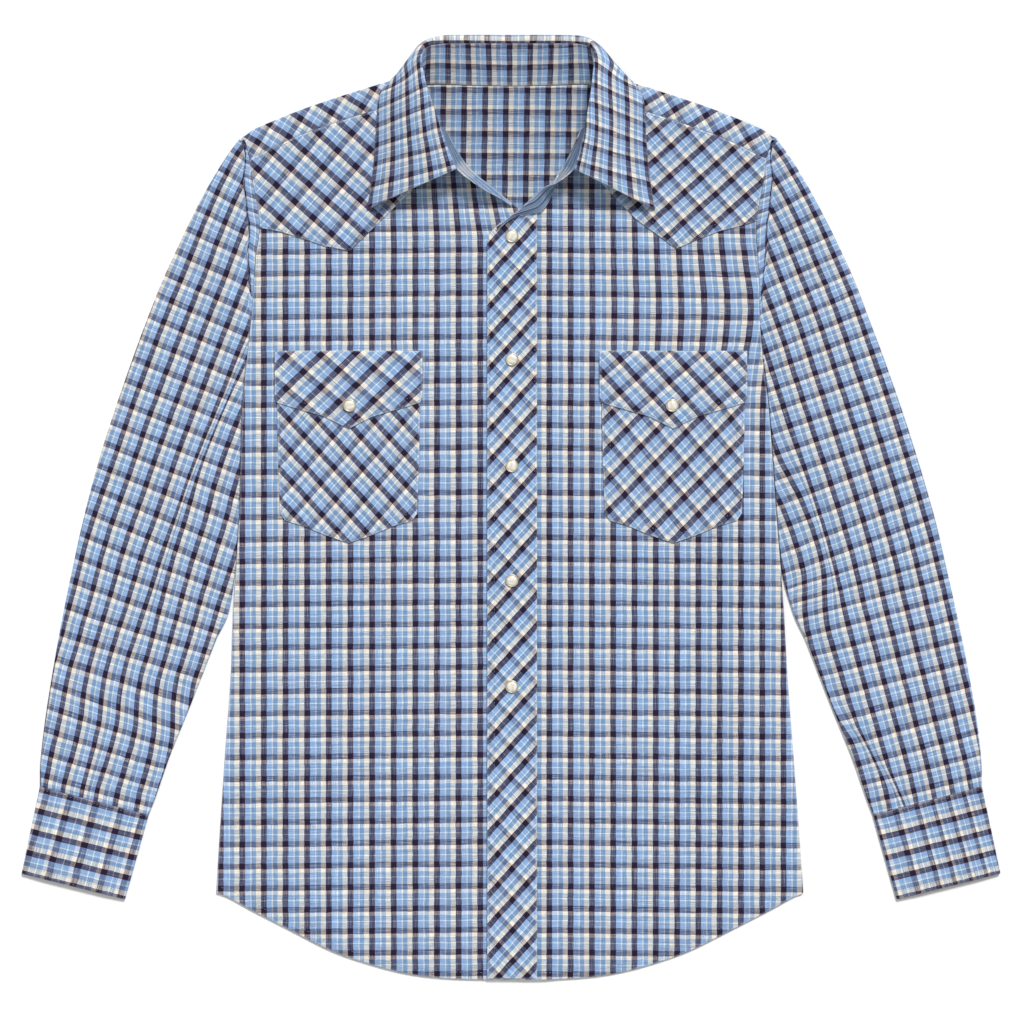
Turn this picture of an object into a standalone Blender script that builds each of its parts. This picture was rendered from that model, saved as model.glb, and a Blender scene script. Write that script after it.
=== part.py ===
"""A western snap shirt laid flat, front up, built piece by piece as it is cut and sewn.

The shirt lies on z = 0 with its collar towards +Y. The wearer's right side is at -X.
Sizes in the tables are millimetres; meshes are written in metres.
"""

import math

import bpy
import numpy as np
from mathutils import Vector
from mathutils.geometry import delaunay_2d_cdt

MM = 0.001
RIGHT, LEFT = -1, 1
SIDES = {"right": RIGHT, "left": LEFT}

# Cloth and the height of each layer's underside
CLOTH = 1.0
SEAM = 0.3
LAYER = CLOTH + SEAM
BACK_Z = 0.0
INNER_Z = LAYER
FRONT_Z = 2 * LAYER
OVER_Z = 3 * LAYER
TOP_Z = 4 * LAYER

# Driving sizes of the garment
HEM_CENTRE_Y = -410.5
PLACKET_EDGES = (-20.5, 22.5)
RIGHT_FRONT_REACH = 18.0
LAP_RAMP = (25.0, 45.0)
HEM_DROP = 15.0
SIDE_DROP = 18.0
SIDE_DROP_Y = (-150.0, -90.0)
POCKET_CENTRE = 141.0
FLAP_TOP_Y = 136.0
FLAP_RAMP_Y = 128.0
POCKET_TOP_Y = 125.0
SNAP_RADIUS = 5.7
SNAP_HEIGHT = 2.2
SNAP_X = 0.8
SNAP_ROWS_Y = (235.5, 128.5, 36.0, -63.5, -155.5)
FLAP_SNAP_Y = 88.5
SHOULDER_FOLD_RADIUS = 1.9
LEFT_SHOULDER_NARROWER = 5.0
SLEEVE_GAP = 0.6
HEM_INSET = 1.0
FRONT_EDGE_INSET = 1.0
INNER_YOKE_LAP = 8.0
INNER_YOKE_INSET = 3.0

# The edge of the body from shoulder tip to hem. Down to the underarm it is the armhole.
# Columns: height, distance from the middle on the wearer's right, and on the left
BODY_EDGE = (
    (-335, 256, 254),
    (-270, 252, 249.5),
    (-210, 248, 245),
    (-150, 243.5, 240.5),
    (-90, 241, 237),
    (-50, 238.5, 234),
    (0, 235.5, 230),
    (45, 234.5, 227),
    (90, 233, 223.5),
    (127, 229.5, 219),
    (165, 225.5, 216),
    (200, 223, 215.5),
    (220, 221.5, 214),
    (243, 218, 213),
    (262, 220, 215),
    (282, 224, 219),
    (303, 227, 222),
    (318, 231, 226),
)
UNDERARM_Y = 127.0

# The curved shirt-tail hem. Columns: distance from the middle, height
HEM = (
    (0, HEM_CENTRE_Y),
    (50, -409.5),
    (90, -405),
    (125, -396),
    (156, -385),
    (190, -368),
    (225, -350),
    (245, -339),
)

# Both shoulders. Columns: distance from the middle, height of the top fold, height of the seam
SHOULDER = (
    (92, 375, 353),
    (131, 363, 341),
    (158, 354.3, 332),
    (183, 345.6, 323.4),
    (205, 336.8, 313.4),
    (218, 331.3, 306.5),
    (220, 330.4, 305.4),
    (224, 328.5, 304),
    (227, 326.5, 302.5),
    (231, 323.4, 318),
)

# The neck seam on each side, from the middle of the back to the front end of the band.
# Columns: distance from the middle (left side counts across), height
NECK_BACK = ((0, 366), (36, 366.6), (62, 367.4), (84, 366))
NECK_FRONT = {
    RIGHT: (
        (83.4, 352),
        (77.3, 342.5),
        (68.6, 334.7),
        (57, 328),
        (50, 315),
        (39.5, 299),
        (28, 287.5),
        (17.6, 279.6),
        (8, 271.5),
        (-2, 263),
    ),
    LEFT: (
        (83.4, 352),
        (77.3, 342.5),
        (69, 334.7),
        (61, 328),
        (54.5, 315),
        (47, 299),
        (37, 283),
        (33, 270),
        (26, 258),
    ),
}
PLACKET_TOP = ((22.5, 256), (13, 253.8), (2.6, 252), (-9.5, 247), (-18, 239), (-20.5, 229))

# The pointed lower edges of the front yokes, from the armhole to the neck seam
YOKE_EDGE = {
    RIGHT: ((218, 243), (200.5, 239.7), (182, 234), (161, 227), (139.8, 223), (109.4, 253), (53, 308)),
    LEFT: ((213.6, 249), (202, 245.3), (180.6, 240), (162.4, 233), (143.5, 225), (108, 251), (56, 306)),
}
# The plain pointed edge of the back yoke. Columns: distance from the middle, height
BACK_YOKE_EDGE = ((0, 190), (60, 212), (110, 222), (165, 229), (218, 243))

# Half outlines of pocket and flap. Columns: distance from the pocket's middle, height
POCKET_HALF = (
    (61.5, POCKET_TOP_Y),
    (62, 85),
    (61, 40),
    (59.5, -5),
    (55, -11.5),
    (39, -16),
    (20, -24),
    (0, -31),
)
FLAP_HALF = ((64, FLAP_TOP_Y), (64, FLAP_RAMP_Y), (64, 96), (62, 91), (40, 84.5), (21, 79), (0, 68.5))

# Sleeves, a row for each section from the shoulder tip to the cuff seam. Columns: height and
# distance from the middle of the outer fold, how much nearer the left one is, height of the
# inner end, its distance from the middle (None where it follows the body's edge), height of the
# cloth there, height of the cloth at mid sleeve, and depth of the valley beside the armhole
SLEEVE_ROWS = (
    (321, 236, 5, 314, None, 4.4, 4.0, 0.0),
    (315.5, 240, 5, 303, None, 4.6, 4.4, 0.8),
    (302, 249.5, 5, 282, None, 4.9, 5.2, 2.4),
    (284, 260.5, 5, 262, None, 4.8, 5.4, 2.8),
    (266, 270.5, 5, 243, None, 4.6, 5.4, 2.8),
    (246, 280.5, 4.6, 220, None, 4.2, 5.6, 2.8),
    (228, 289, 4.3, 200, None, 3.8, 5.6, 2.4),
    (197, 303.2, 4.4, 165, None, 3.2, 5.6, 1.4),
    (163, 316.7, 5, UNDERARM_Y, None, 2.6, 5.6, 0.6),
    (128, 329.5, 4.6, 90, None, 2.6, 5.6, 0.0),
    (83, 345.2, 4.6, 45, None, 2.6, 5.6, 0.0),
    (40, 358.7, 4.4, 0, None, 2.6, 5.6, 0.0),
    (-11, 372, 3, -50, None, 2.8, 5.6, 0.0),
    (-47, 380, 2.7, -90, 245.2, 3.0, 5.6, 0.0),
    (-80.5, 387, 2, -115, 256.5, 3.2, 5.6, 0.0),
    (-115, 393.6, 1.2, -148, 269.4, 3.2, 5.6, 0.0),
    (-150, 399.7, 0.6, -183, 283.3, 3.2, 5.6, 0.0),
    (-184.7, 405, 0, -217, 297, 3.2, 5.4, 0.0),
    (-219.4, 409, 0, -250, 308.5, 3.2, 5.0, 0.0),
    (-242, 409.5, 0, -266.5, 314.8, 3.2, 4.6, 0.0),
)
FIRST_CLOSED_ROW = 8
SLEEVE_FOLD_HEIGHT = 3.2
VALLEY_AT = 10.0
VALLEY_WIDTH = 9.0
NARROW_SLEEVE = 40.0

# Corners of the right cuff: distance from the middle, height
CUFF_TOP = ((409.6, -242.6), (315.0, -267.2))
CUFF_BOTTOM = ((425.5, -318.0), (335.5, -340.4))
CUFF_WALL = 1.2
CUFF_HEIGHT = 4.6
CUFF_FOLD_HEIGHT = 3.8

# The collar, a row for each section from the middle of the back to the front edge of the leaf.
# Columns: neck seam, top of the stand and hem of the leaf (each distance from the middle,
# height, z), the way the leaf faces in degrees, how far it is folded under (1 at the back),
# and how far the left side's top lies further out
COLLAR_ROWS = (
    ((0, 366.7, 2.9), (0, 402, 9.3), (0, 370.5, 0), 90, 1.0, 0),
    ((36, 367.4, 2.9), (37, 402, 9.8), (35, 370.5, 0), 92, 1.0, 0),
    ((62, 368.4, 3.1), (61.5, 401.2, 11.6), (59, 372, 0), 100, 0.95, -1.5),
    ((75.6, 367, 3.5), (73.5, 396.5, 16), (78, 377, 0.8), 120, 0.72, -4),
    ((83.4, 360.8, 4.4), (76.8, 384.5, 21), (95, 378, 3.4), 145, 0.42, -5),
    ((83.4, 353, 5.5), (74.8, 369.5, 25), (106, 369.5, 6.8), 164, 0.16, -4),
    ((77.3, 342.5, 5.5), (70, 354, 27.5), (114.5, 356, 6.8), 175, 0.04, -1.5),
    ((68.6, 334.7, 5.5), (64.5, 338.5, 28.5), (116.5, 339, 6.4), 180, 0.0, 1),
    ((57, 328, 5.5), (58.8, 322, 29), (118, 314, 6.4), 188, 0.0, 4),
    ((50, 315, 5.4), (53, 306.5, 28.5), (120.5, 287, 6.4), 197, 0.0, 6),
    ((39.5, 299, 5.3), (46.5, 292, 26.5), (125, 258.5, 6.4), 205, 0.0, 7.5),
)
# The stand goes on past the leaf to its front ends. Columns: neck seam, top of the stand
STAND_ENDS = {
    RIGHT: (
        ((28, 287.5, 4.2), (33.5, 281.5, 23)),
        ((17.6, 279.6, 4.2), (21.5, 274, 17)),
        ((8, 271.5, 4.2), (10, 268.8, 10.5)),
        ((-1, 263.8, 4.2), (-0.5, 262.3, 6.2)),
    ),
    LEFT: (
        ((40, 285, 5.6), (40.5, 281, 23.5)),
        ((34.5, 270.5, 5.6), (28.5, 276.5, 20)),
        ((27, 258, 7.0), (17.5, 267, 16.5)),
        ((14.5, 255, 7.6), (6.5, 257.5, 13)),
        ((3, 253, 7.8), (-0.5, 252.5, 11)),
        ((-12, 241, 7.8), (-12.5, 243.5, 9.4)),
    ),
}
LEAF_LIFT = (10.0, 14.0)
LEAF_TUCK = (-18.0, 43.0)
LEAF_DROP = (13.0, -3.0)
LEAF_SEAM_GAP = 0.6

# How finely the curved pieces are cut into faces
FOLD_STEPS = 4
SLEEVE_BOTTOM_STEPS = 2
SLEEVE_TOP_STEPS = 9
STAND_STEPS = 3
LEAF_STEPS = (0, 0.03, 0.09, 0.18, 0.3, 0.45, 0.62, 0.8, 1)
ROW_STEPS = 2
SNAP_SIDES = 14

BLUE_PLAID = (0.24, 0.36, 0.60, 1.0)
BIAS_PLAID = (0.27, 0.38, 0.58, 1.0)
PEARL = (0.86, 0.82, 0.70, 1.0)


def clear_scene():
    """Removes whatever the scene holds."""
    for thing in list(bpy.data.objects):
        bpy.data.objects.remove(thing, do_unlink=True)


def cloth_material(name, colour, roughness=0.9, metallic=0.0):
    """A plain Principled finish."""
    material = bpy.data.materials.new(name)
    material.use_nodes = True
    shader = material.node_tree.nodes["Principled BSDF"]
    shader.inputs["Base Color"].default_value = colour
    shader.inputs["Roughness"].default_value = roughness
    shader.inputs["Metallic"].default_value = metallic
    return material


def smooth(t):
    """An S-shaped step from 0 to 1."""
    t = np.clip(t, 0.0, 1.0)
    return t * t * (3 - 2 * t)


def mix(a, b, t):
    """The value a share t of the way from a to b."""
    return a + (b - a) * t


def look_up(table, key, column, by=0):
    """A table's column read at key, straight between its rows."""
    rows = sorted(table, key=lambda row: row[by])
    return float(np.interp(key, [row[by] for row in rows], [row[column] for row in rows]))


def body_edge(y, side):
    """How far the body's edge is from the middle at a height."""
    return look_up(BODY_EDGE, y, 1 if side == RIGHT else 2)


def fold_height(x):
    """The height of the right shoulder's top fold at a distance from the middle."""
    return look_up(SHOULDER, x, 1)


def seam_height(x):
    """The height of the right shoulder's seam at a distance from the middle."""
    return look_up(SHOULDER, x, 2)


def narrower(side):
    """How much narrower this shoulder lies."""
    return LEFT_SHOULDER_NARROWER if side == LEFT else 0.0


def add_object(name, points, faces, material, parent):
    """A named object from points in millimetres."""
    mesh = bpy.data.meshes.new(name)
    mesh.from_pydata([tuple(c * MM for c in p) for p in points], [], faces)
    mesh.materials.append(material)
    mesh.update()
    thing = bpy.data.objects.new(name, mesh)
    bpy.context.scene.collection.objects.link(thing)
    thing.parent = parent
    return thing


def face_normal(points, face):
    """A face's unit normal, from the diagonals of a quad or two edges of a triangle."""
    corners = [points[i] for i in face]
    first = corners[2] - corners[0]
    second = corners[-1] - corners[1]
    normal = np.cross(first, second)
    return normal / max(np.linalg.norm(normal), 1e-9)


def vertex_normals(points, faces):
    """The mean of the face normals round each point."""
    normals = np.zeros((len(points), 3))
    for face in faces:
        normal = face_normal(points, face)
        for i in face:
            normals[i] += normal
    lengths = np.linalg.norm(normals, axis=1, keepdims=True)
    return normals / np.maximum(lengths, 1e-9)


def rim_edges(faces):
    """The edges that only one face uses, each as that face runs along it."""
    used = {}
    for face in faces:
        for a, b in zip(face, face[1:] + face[:1]):
            used[(a, b)] = used.get((a, b), 0) + 1
    return [edge for edge in used if (edge[1], edge[0]) not in used]


def backed(points, faces, wall, straight_down=False):
    """A closed wall from an outer skin: the skin, its back one wall behind it, and the rims."""
    points = np.array(points, float)
    faces = [tuple(face) for face in faces]
    if straight_down:
        behind = points - np.array((0, 0, wall))
    else:
        behind = points - wall * vertex_normals(points, faces)
    n = len(points)
    closed = list(faces)
    closed += [tuple(i + n for i in reversed(face)) for face in faces]
    closed += [(b, a, a + n, b + n) for a, b in rim_edges(faces)]
    return np.concatenate([points, behind]), closed


def triangles_in(outline, lines=()):
    """Triangles that fill an outline, with an edge along each of the lines."""
    coords = [Vector(p) for p in outline]
    faces = [list(range(len(outline)))]
    edges = []
    for line in lines:
        first = len(coords)
        coords += [Vector(p) for p in line]
        edges += [(first + i, first + i + 1) for i in range(len(line) - 1)]
    found, _, triangles, *_ = delaunay_2d_cdt(coords, edges, faces, 1, 1e-4)
    used = sorted({i for triangle in triangles for i in triangle})
    place = {old: new for new, old in enumerate(used)}
    upward = []
    for a, b, c in triangles:
        area = (found[b] - found[a]).cross(found[c] - found[a])
        corners = (a, b, c) if area > 0 else (a, c, b)
        upward.append(tuple(place[i] for i in corners))
    return [tuple(found[i]) for i in used], upward


def slab(name, outline, underside, material, parent, lines=()):
    """A flat panel one cloth thick. underside(x, y) gives the height of its lower face."""
    flat, faces = triangles_in(outline, lines)
    skin = [(x, y, underside(x, y) + CLOTH) for x, y in flat]
    points, closed = backed(skin, faces, CLOTH, straight_down=True)
    return add_object(name, points, closed, material, parent)


def grid_faces(rows, columns):
    """Quads over a grid of points kept row by row."""
    return [
        (r * columns + c, r * columns + c + 1, (r + 1) * columns + c + 1, (r + 1) * columns + c)
        for r in range(rows - 1)
        for c in range(columns - 1)
    ]


def curve_points(rows, steps):
    """Rows of numbers with smooth in-between rows, on a curve through the given ones."""
    rows = np.array(rows, float)
    padded = np.concatenate([[2 * rows[0] - rows[1]], rows, [2 * rows[-1] - rows[-2]]])
    out = []
    for i in range(1, len(padded) - 2):
        before, a, b, after = padded[i - 1 : i + 3]
        for k in range(steps):
            t = k / steps
            out.append(
                0.5
                * (
                    2 * a
                    + (b - before) * t
                    + (2 * before - 5 * a + 4 * b - after) * t**2
                    + (3 * a - before - 3 * b + after) * t**3
                )
            )
    out.append(rows[-1])
    return np.array(out)


def hem_line(side):
    """The hem from the side corner to the middle, on one side."""
    corner = BODY_EDGE[0]
    reach = corner[1] if side == RIGHT else corner[2]
    points = [(reach, corner[0])]
    points += [(x, y) for x, y in reversed(HEM)]
    return [(side * x, y) for x, y in points]


def side_line(side, low, high):
    """The body's edge between two heights, going up."""
    ys = [low] + [row[0] for row in BODY_EDGE if low < row[0] < high] + [high]
    return [(side * body_edge(y, side), y) for y in ys]


def seam_line(side):
    """The shoulder seam from armhole to neck."""
    inner = narrower(side)
    xs = [row[0] for row in reversed(SHOULDER) if row[0] < 230]
    return [(side * (x - inner), seam_height(x)) for x in xs]


def round_outline(points, side):
    """Points in order, turned so that they run anticlockwise."""
    return points if side == LEFT else points[::-1]


def front_outline(side):
    """A front panel, from its centre edge round the hem, side, armhole, shoulder and neck."""
    edge_x = RIGHT_FRONT_REACH if side == RIGHT else PLACKET_EDGES[0] + FRONT_EDGE_INSET
    hem = [p for p in hem_line(side)[::-1] if p[0] * side > 0]
    line = [(edge_x, HEM_CENTRE_Y + HEM_INSET)]
    if side == LEFT:
        line.append((0, HEM_CENTRE_Y + HEM_INSET / 2))
    line += hem
    line += side_line(side, BODY_EDGE[0][0], SHOULDER[-2][2])[1:-1]
    line += seam_line(side)
    line += [(side * x, y) for x, y in NECK_FRONT[side]]
    if side == RIGHT:
        line.append((edge_x, NECK_FRONT[RIGHT][-1][1] - 12))
    else:
        line += [(x, y - FRONT_EDGE_INSET) for x, y in PLACKET_TOP[:-2]]
        line.append((edge_x, PLACKET_TOP[-1][1] - FRONT_EDGE_INSET))
    return round_outline(line, side)


def hem_height(x):
    """The height of the hem at a distance from the middle."""
    return look_up(HEM + ((BODY_EDGE[0][1], BODY_EDGE[0][0]),), x, 1)


def body_drop(x, y, side):
    """How far the front lies lower near the hem and the free part of the side."""
    at_hem = 1 - np.clip((y - hem_height(abs(x))) / HEM_DROP, 0, 1)
    at_side = 1 - np.clip((body_edge(y, side) - abs(x)) / SIDE_DROP, 0, 1)
    low, high = SIDE_DROP_Y
    free = 1 - np.clip((y - low) / (high - low), 0, 1)
    return LAYER * max(at_hem, at_side * free)


def front_underside(side):
    """Where a front's lower face lies: the left one steps up over the right one."""

    def height(x, y):
        z = FRONT_Z - body_drop(x, y, side)
        if side == RIGHT:
            return z
        low, high = LAP_RAMP
        return z + LAYER * (1 - np.clip((x - low) / (high - low), 0, 1))

    return height


def drop_lines(side):
    """A line along the hem and the free side, where the front starts to drop."""
    corner_y, free_y = BODY_EDGE[0][0], SIDE_DROP_Y[1]
    inner = body_edge(corner_y, side) - 2 * SIDE_DROP
    line = [(-side * LAP_RAMP[1], HEM_CENTRE_Y + HEM_DROP)]
    line += [(side * x, y + HEM_DROP) for x, y in HEM if x < inner]
    line.append((side * (body_edge(corner_y, side) - SIDE_DROP), corner_y + HEM_DROP))
    for y in [row[0] for row in BODY_EDGE if corner_y < row[0] < free_y]:
        line.append((side * (body_edge(y, side) - SIDE_DROP), y))
    line.append((side * body_edge(free_y, side), free_y))
    return [line]


def make_fronts(cloth, parent):
    """The two front panels."""
    for word, side in SIDES.items():
        lines = drop_lines(side)
        if side == LEFT:
            lines += [((x, HEM_CENTRE_Y - HEM_DROP), (x, UNDERARM_Y * 2)) for x in LAP_RAMP]
        slab(f"front_{word}", front_outline(side), front_underside(side), cloth, parent, lines)


def yoke_outline(side):
    """A front yoke, from its armhole corner up the armhole, along the shoulder and the neck."""
    edge = YOKE_EDGE[side]
    line = side_line(side, edge[0][1], SHOULDER[-2][2])[:-1]
    line += seam_line(side)
    line += [(side * x, y) for x, y in NECK_FRONT[side] if y > edge[-1][1]]
    line += [(side * x, y) for x, y in reversed(edge[1:])]
    return round_outline(line, side)


def make_front_yokes(cloth, parent):
    """The pointed yokes on the fronts."""
    for word, side in SIDES.items():
        slab(f"front_yoke_{word}", yoke_outline(side), lambda x, y: OVER_Z, cloth, parent)


def placket_outline():
    """The snap placket, cut square at the hem and sloping under the collar."""
    left, right = PLACKET_EDGES
    bottom = HEM_CENTRE_Y + 1.5 * HEM_INSET
    return [(left, bottom), (right, bottom)] + list(PLACKET_TOP)


def placket_underside(x, y):
    """The placket lies on the left front and drops with it at the hem."""
    return TOP_Z - body_drop(x, y, LEFT)


def both_halves(half, centre):
    """A closed outline from a half outline that ends in its point."""
    left = [(centre - x, y) for x, y in half]
    right = [(centre + x, y) for x, y in half[:-1]]
    return left + right[::-1]


def flap_underside(x, y):
    """A flap's lower face comes down to the front at its sewn edge."""
    share = np.clip((y - FLAP_RAMP_Y) / (FLAP_TOP_Y - FLAP_RAMP_Y), 0, 1)
    return mix(TOP_Z, OVER_Z, share)


def make_pockets(cloth, parent):
    """Patch pockets with pointed flaps over their mouths."""
    for word, side in SIDES.items():
        centre = side * POCKET_CENTRE
        slab(f"pocket_{word}", both_halves(POCKET_HALF, centre), lambda x, y: OVER_Z, cloth, parent)
        ramp = [(centre + x, FLAP_RAMP_Y) for x in (-FLAP_HALF[0][0], FLAP_HALF[0][0])]
        slab(f"flap_{word}", both_halves(FLAP_HALF, centre), flap_underside, cloth, parent, [ramp])


def snap_mesh(material):
    """A domed snap cap, turned about z, with its flat face at z = 0."""
    profile = ((SNAP_RADIUS, 0), (SNAP_RADIUS, 0.7), (0.8 * SNAP_RADIUS, 1.6), (0, SNAP_HEIGHT))
    points = [(0, 0, 0)]
    for radius, z in profile[:-1]:
        for k in range(SNAP_SIDES):
            turn = math.tau * k / SNAP_SIDES
            points.append((radius * math.cos(turn), radius * math.sin(turn), z))
    points.append((0, 0, profile[-1][1]))
    top = len(points) - 1
    faces = []
    for k in range(SNAP_SIDES):
        after = (k + 1) % SNAP_SIDES
        faces.append((0, 1 + after, 1 + k))
        for ring in range(len(profile) - 2):
            low = 1 + ring * SNAP_SIDES
            high = low + SNAP_SIDES
            faces.append((low + k, low + after, high + after, high + k))
        last = 1 + (len(profile) - 2) * SNAP_SIDES
        faces.append((last + k, last + after, top))
    mesh = bpy.data.meshes.new("snap_cap")
    mesh.from_pydata([tuple(c * MM for c in p) for p in points], [], faces)
    mesh.materials.append(material)
    return mesh


def make_snaps(pearl, parent):
    """Pearl caps down the placket and one on each flap."""
    mesh = snap_mesh(pearl)
    z = TOP_Z + CLOTH + SEAM
    places = {f"snap_{i + 1}": (SNAP_X, y) for i, y in enumerate(SNAP_ROWS_Y)}
    for word, side in SIDES.items():
        places[f"snap_flap_{word}"] = (side * (POCKET_CENTRE - 1), FLAP_SNAP_Y)
    for name, (x, y) in places.items():
        thing = bpy.data.objects.new(name, mesh)
        bpy.context.scene.collection.objects.link(thing)
        thing.location = (x * MM, y * MM, z * MM)
        thing.parent = parent


def back_yoke_low(x, side):
    """The lower end of the back yoke at a distance from the middle."""
    corner_y = BACK_YOKE_EDGE[-1][1]
    corner = body_edge(corner_y, side)
    if x > corner:
        armhole = [row for row in BODY_EDGE if row[0] >= corner_y]
        return look_up(armhole, x, 0, by=1 if side == RIGHT else 2)
    return look_up(BACK_YOKE_EDGE[:-1] + ((corner, corner_y),), x, 1)


def back_yoke_bottom(side):
    """The back yoke's lower edge, a point under each of its sections, outwards."""
    xs = [x for x, _ in NECK_BACK[1:]] + [x - narrower(side) for x, *_ in SHOULDER]
    return [(x, back_yoke_low(x, side)) for x in xs]


def back_yoke_column(x, side):
    """One section of the back yoke over the shoulder: floor, round the fold, out to the seam."""
    radius = SHOULDER_FOLD_RADIUS
    x_at = x - narrower(side)
    fold = fold_height(x) - radius
    column = [(x_at, back_yoke_low(x_at, side), 0), (x_at, fold, 0)]
    for k in range(1, FOLD_STEPS + 1):
        turn = math.pi * k / FOLD_STEPS
        column.append((x_at, fold + radius * math.sin(turn), radius * (1 - math.cos(turn))))
    column.append((x_at, seam_height(x) + SEAM, OVER_Z + CLOTH))
    return [(side * px, py, pz) for px, py, pz in column]


def make_back_yoke(cloth, parent):
    """The outer back yoke: flat on the floor behind, folded over both shoulders to the seams."""
    points, faces = [], []
    flat_columns = []
    for side in (RIGHT, LEFT):
        necks = [
            [(side * x, back_yoke_low(x, side), 0), (side * x, y, 0)]
            for x, y in (NECK_BACK[::-1] if side == RIGHT else NECK_BACK[1:])
        ]
        shoulders = [back_yoke_column(row[0], side) for row in SHOULDER]
        flat_columns += shoulders[::-1] + necks if side == RIGHT else necks + shoulders
    starts = []
    for column in flat_columns:
        starts.append(len(points))
        points += column
    for a, b in zip(range(len(flat_columns) - 1), range(1, len(flat_columns))):
        shared = min(len(flat_columns[a]), len(flat_columns[b]))
        for k in range(shared - 1):
            faces.append((starts[a] + k, starts[a] + k + 1, starts[b] + k + 1, starts[b] + k))
    points, closed = backed(points, faces, CLOTH)
    add_object("back_yoke", points, closed, cloth, parent)


def inner_yoke_outline():
    """The inner yoke: it laps over the back panel and stops short of fold and armholes."""
    corner_y = BACK_YOKE_EDGE[-1][1]
    line = []
    for side in (LEFT, RIGHT):
        inset = narrower(side) + INNER_YOKE_INSET
        half = [(x, y - INNER_YOKE_LAP) for x, y in BACK_YOKE_EDGE[:-1]]
        half.append((body_edge(corner_y, side) - INNER_YOKE_INSET, corner_y - INNER_YOKE_LAP))
        armhole = [y for y, *_ in BODY_EDGE if corner_y < y < SHOULDER[-2][2] + 1]
        half += [(body_edge(y, side) - INNER_YOKE_INSET, y) for y in armhole]
        half += [(x - inset, fold_height(x) - INNER_YOKE_LAP) for x, *_ in SHOULDER[4::-1]]
        half += [(x, y) for x, y in NECK_BACK[::-1]]
        half = [(side * x, y) for x, y in half]
        line += half if side == LEFT else half[::-1][1:-1]
    return line


def back_outline():
    """The back panel, from the yoke's edge down both sides to the hem."""
    line = []
    for side in (LEFT, RIGHT):
        hem = hem_line(side)[::-1]
        up = side_line(side, BODY_EDGE[0][0], BACK_YOKE_EDGE[-1][1] - 2 * SEAM)[1:]
        edge = [p for p in back_yoke_bottom(side) if p[0] < body_edge(BACK_YOKE_EDGE[-1][1], side)]
        top = [(side * x, y - 2 * SEAM) for x, y in edge[::-1]]
        half = hem + up + top + [(0, BACK_YOKE_EDGE[0][1] - 2 * SEAM)]
        line += half if side == LEFT else half[::-1][1:-1]
    return line


def make_back(cloth, parent):
    """The back panel and the inner yoke that laps over its top."""
    slab("back", back_outline(), lambda x, y: BACK_Z, cloth, parent)
    slab("yoke_inner", inner_yoke_outline(), lambda x, y: INNER_Z, cloth, parent)


def sleeve_section(row, side, closed):
    """One section of a sleeve: along the floor, round the outer fold and back over the top."""
    outer_y, outer_x, closer, inner_y, inner_x, inner_z, middle_z, valley = row
    outer_x -= closer if side == LEFT else 0
    if inner_x is None:
        inner_x = body_edge(inner_y, side) + SLEEVE_GAP
    if closed:
        inner_x += inner_z / 2
    outer = np.array((side * outer_x, outer_y))
    inner = np.array((side * inner_x, inner_y))
    width = np.linalg.norm(inner - outer)
    inward = (inner - outer) / width
    radius = SLEEVE_FOLD_HEIGHT / 2
    points = []
    for k in range(SLEEVE_BOTTOM_STEPS + 1):
        across = mix(width, radius, k / SLEEVE_BOTTOM_STEPS)
        points.append((*(outer + inward * across), 0.0))
    for k in range(1, FOLD_STEPS):
        turn = math.pi * k / FOLD_STEPS
        across = radius * (1 - math.sin(turn))
        points.append((*(outer + inward * across), radius * (1 - math.cos(turn))))
    top = [mix(radius, width, k / SLEEVE_TOP_STEPS) for k in range(SLEEVE_TOP_STEPS + 1)]
    if width > NARROW_SLEEVE:
        far = [width - VALLEY_AT - VALLEY_WIDTH, width - VALLEY_AT, width - 0.4 * VALLEY_AT]
        near = np.linspace(0.12 * width, far[0], SLEEVE_TOP_STEPS - 4, endpoint=False)
        top = [radius, *near, *far, width]
    for across in top:
        share = across / width
        rise = smooth(share * 5) * smooth((1 - share) * 5)
        base = mix(SLEEVE_FOLD_HEIGHT, inner_z, smooth((share - 0.5) * 2))
        z = base + (middle_z - base) * rise
        z -= valley * math.exp(-(((width - across - VALLEY_AT) / (0.5 * VALLEY_WIDTH)) ** 2))
        points.append((*(outer + inward * across), z))
    return points, inward


def inner_fold(section, inward):
    """The points round a sleeve's inner fold, from its top end down to the floor."""
    x, y, height = section[-1]
    points = []
    for k in range(1, FOLD_STEPS):
        turn = math.pi * k / FOLD_STEPS
        out = (height / 2) * math.sin(turn)
        z = height * (1 + math.cos(turn)) / 2
        points.append((x + inward[0] * out, y + inward[1] * out, z))
    return points


def make_sleeves(cloth, parent):
    """Each sleeve is a flattened tube whose upper end is cut to the armhole."""
    for word, side in SIDES.items():
        sections = [
            sleeve_section(row, side, closed=index >= FIRST_CLOSED_ROW)
            for index, row in enumerate(SLEEVE_ROWS)
        ]
        columns = len(sections[0][0])
        points = [p for section, _ in sections for p in section]
        faces = grid_faces(len(sections), columns)
        strip = []
        for index, (section, inward) in enumerate(sections):
            if index < FIRST_CLOSED_ROW:
                continue
            ring = [index * columns + columns - 1]
            for p in inner_fold(section, inward):
                ring.append(len(points))
                points.append(p)
            ring.append(index * columns)
            strip.append(ring)
        for upper, lower in zip(strip, strip[1:]):
            for k in range(len(upper) - 1):
                faces.append((upper[k], upper[k + 1], lower[k + 1], lower[k]))
        if side == RIGHT:
            faces = [tuple(reversed(face)) for face in faces]
        points, closed = backed(points, faces, CLOTH)
        add_object(f"sleeve_{word}", points, closed, cloth, parent)


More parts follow.
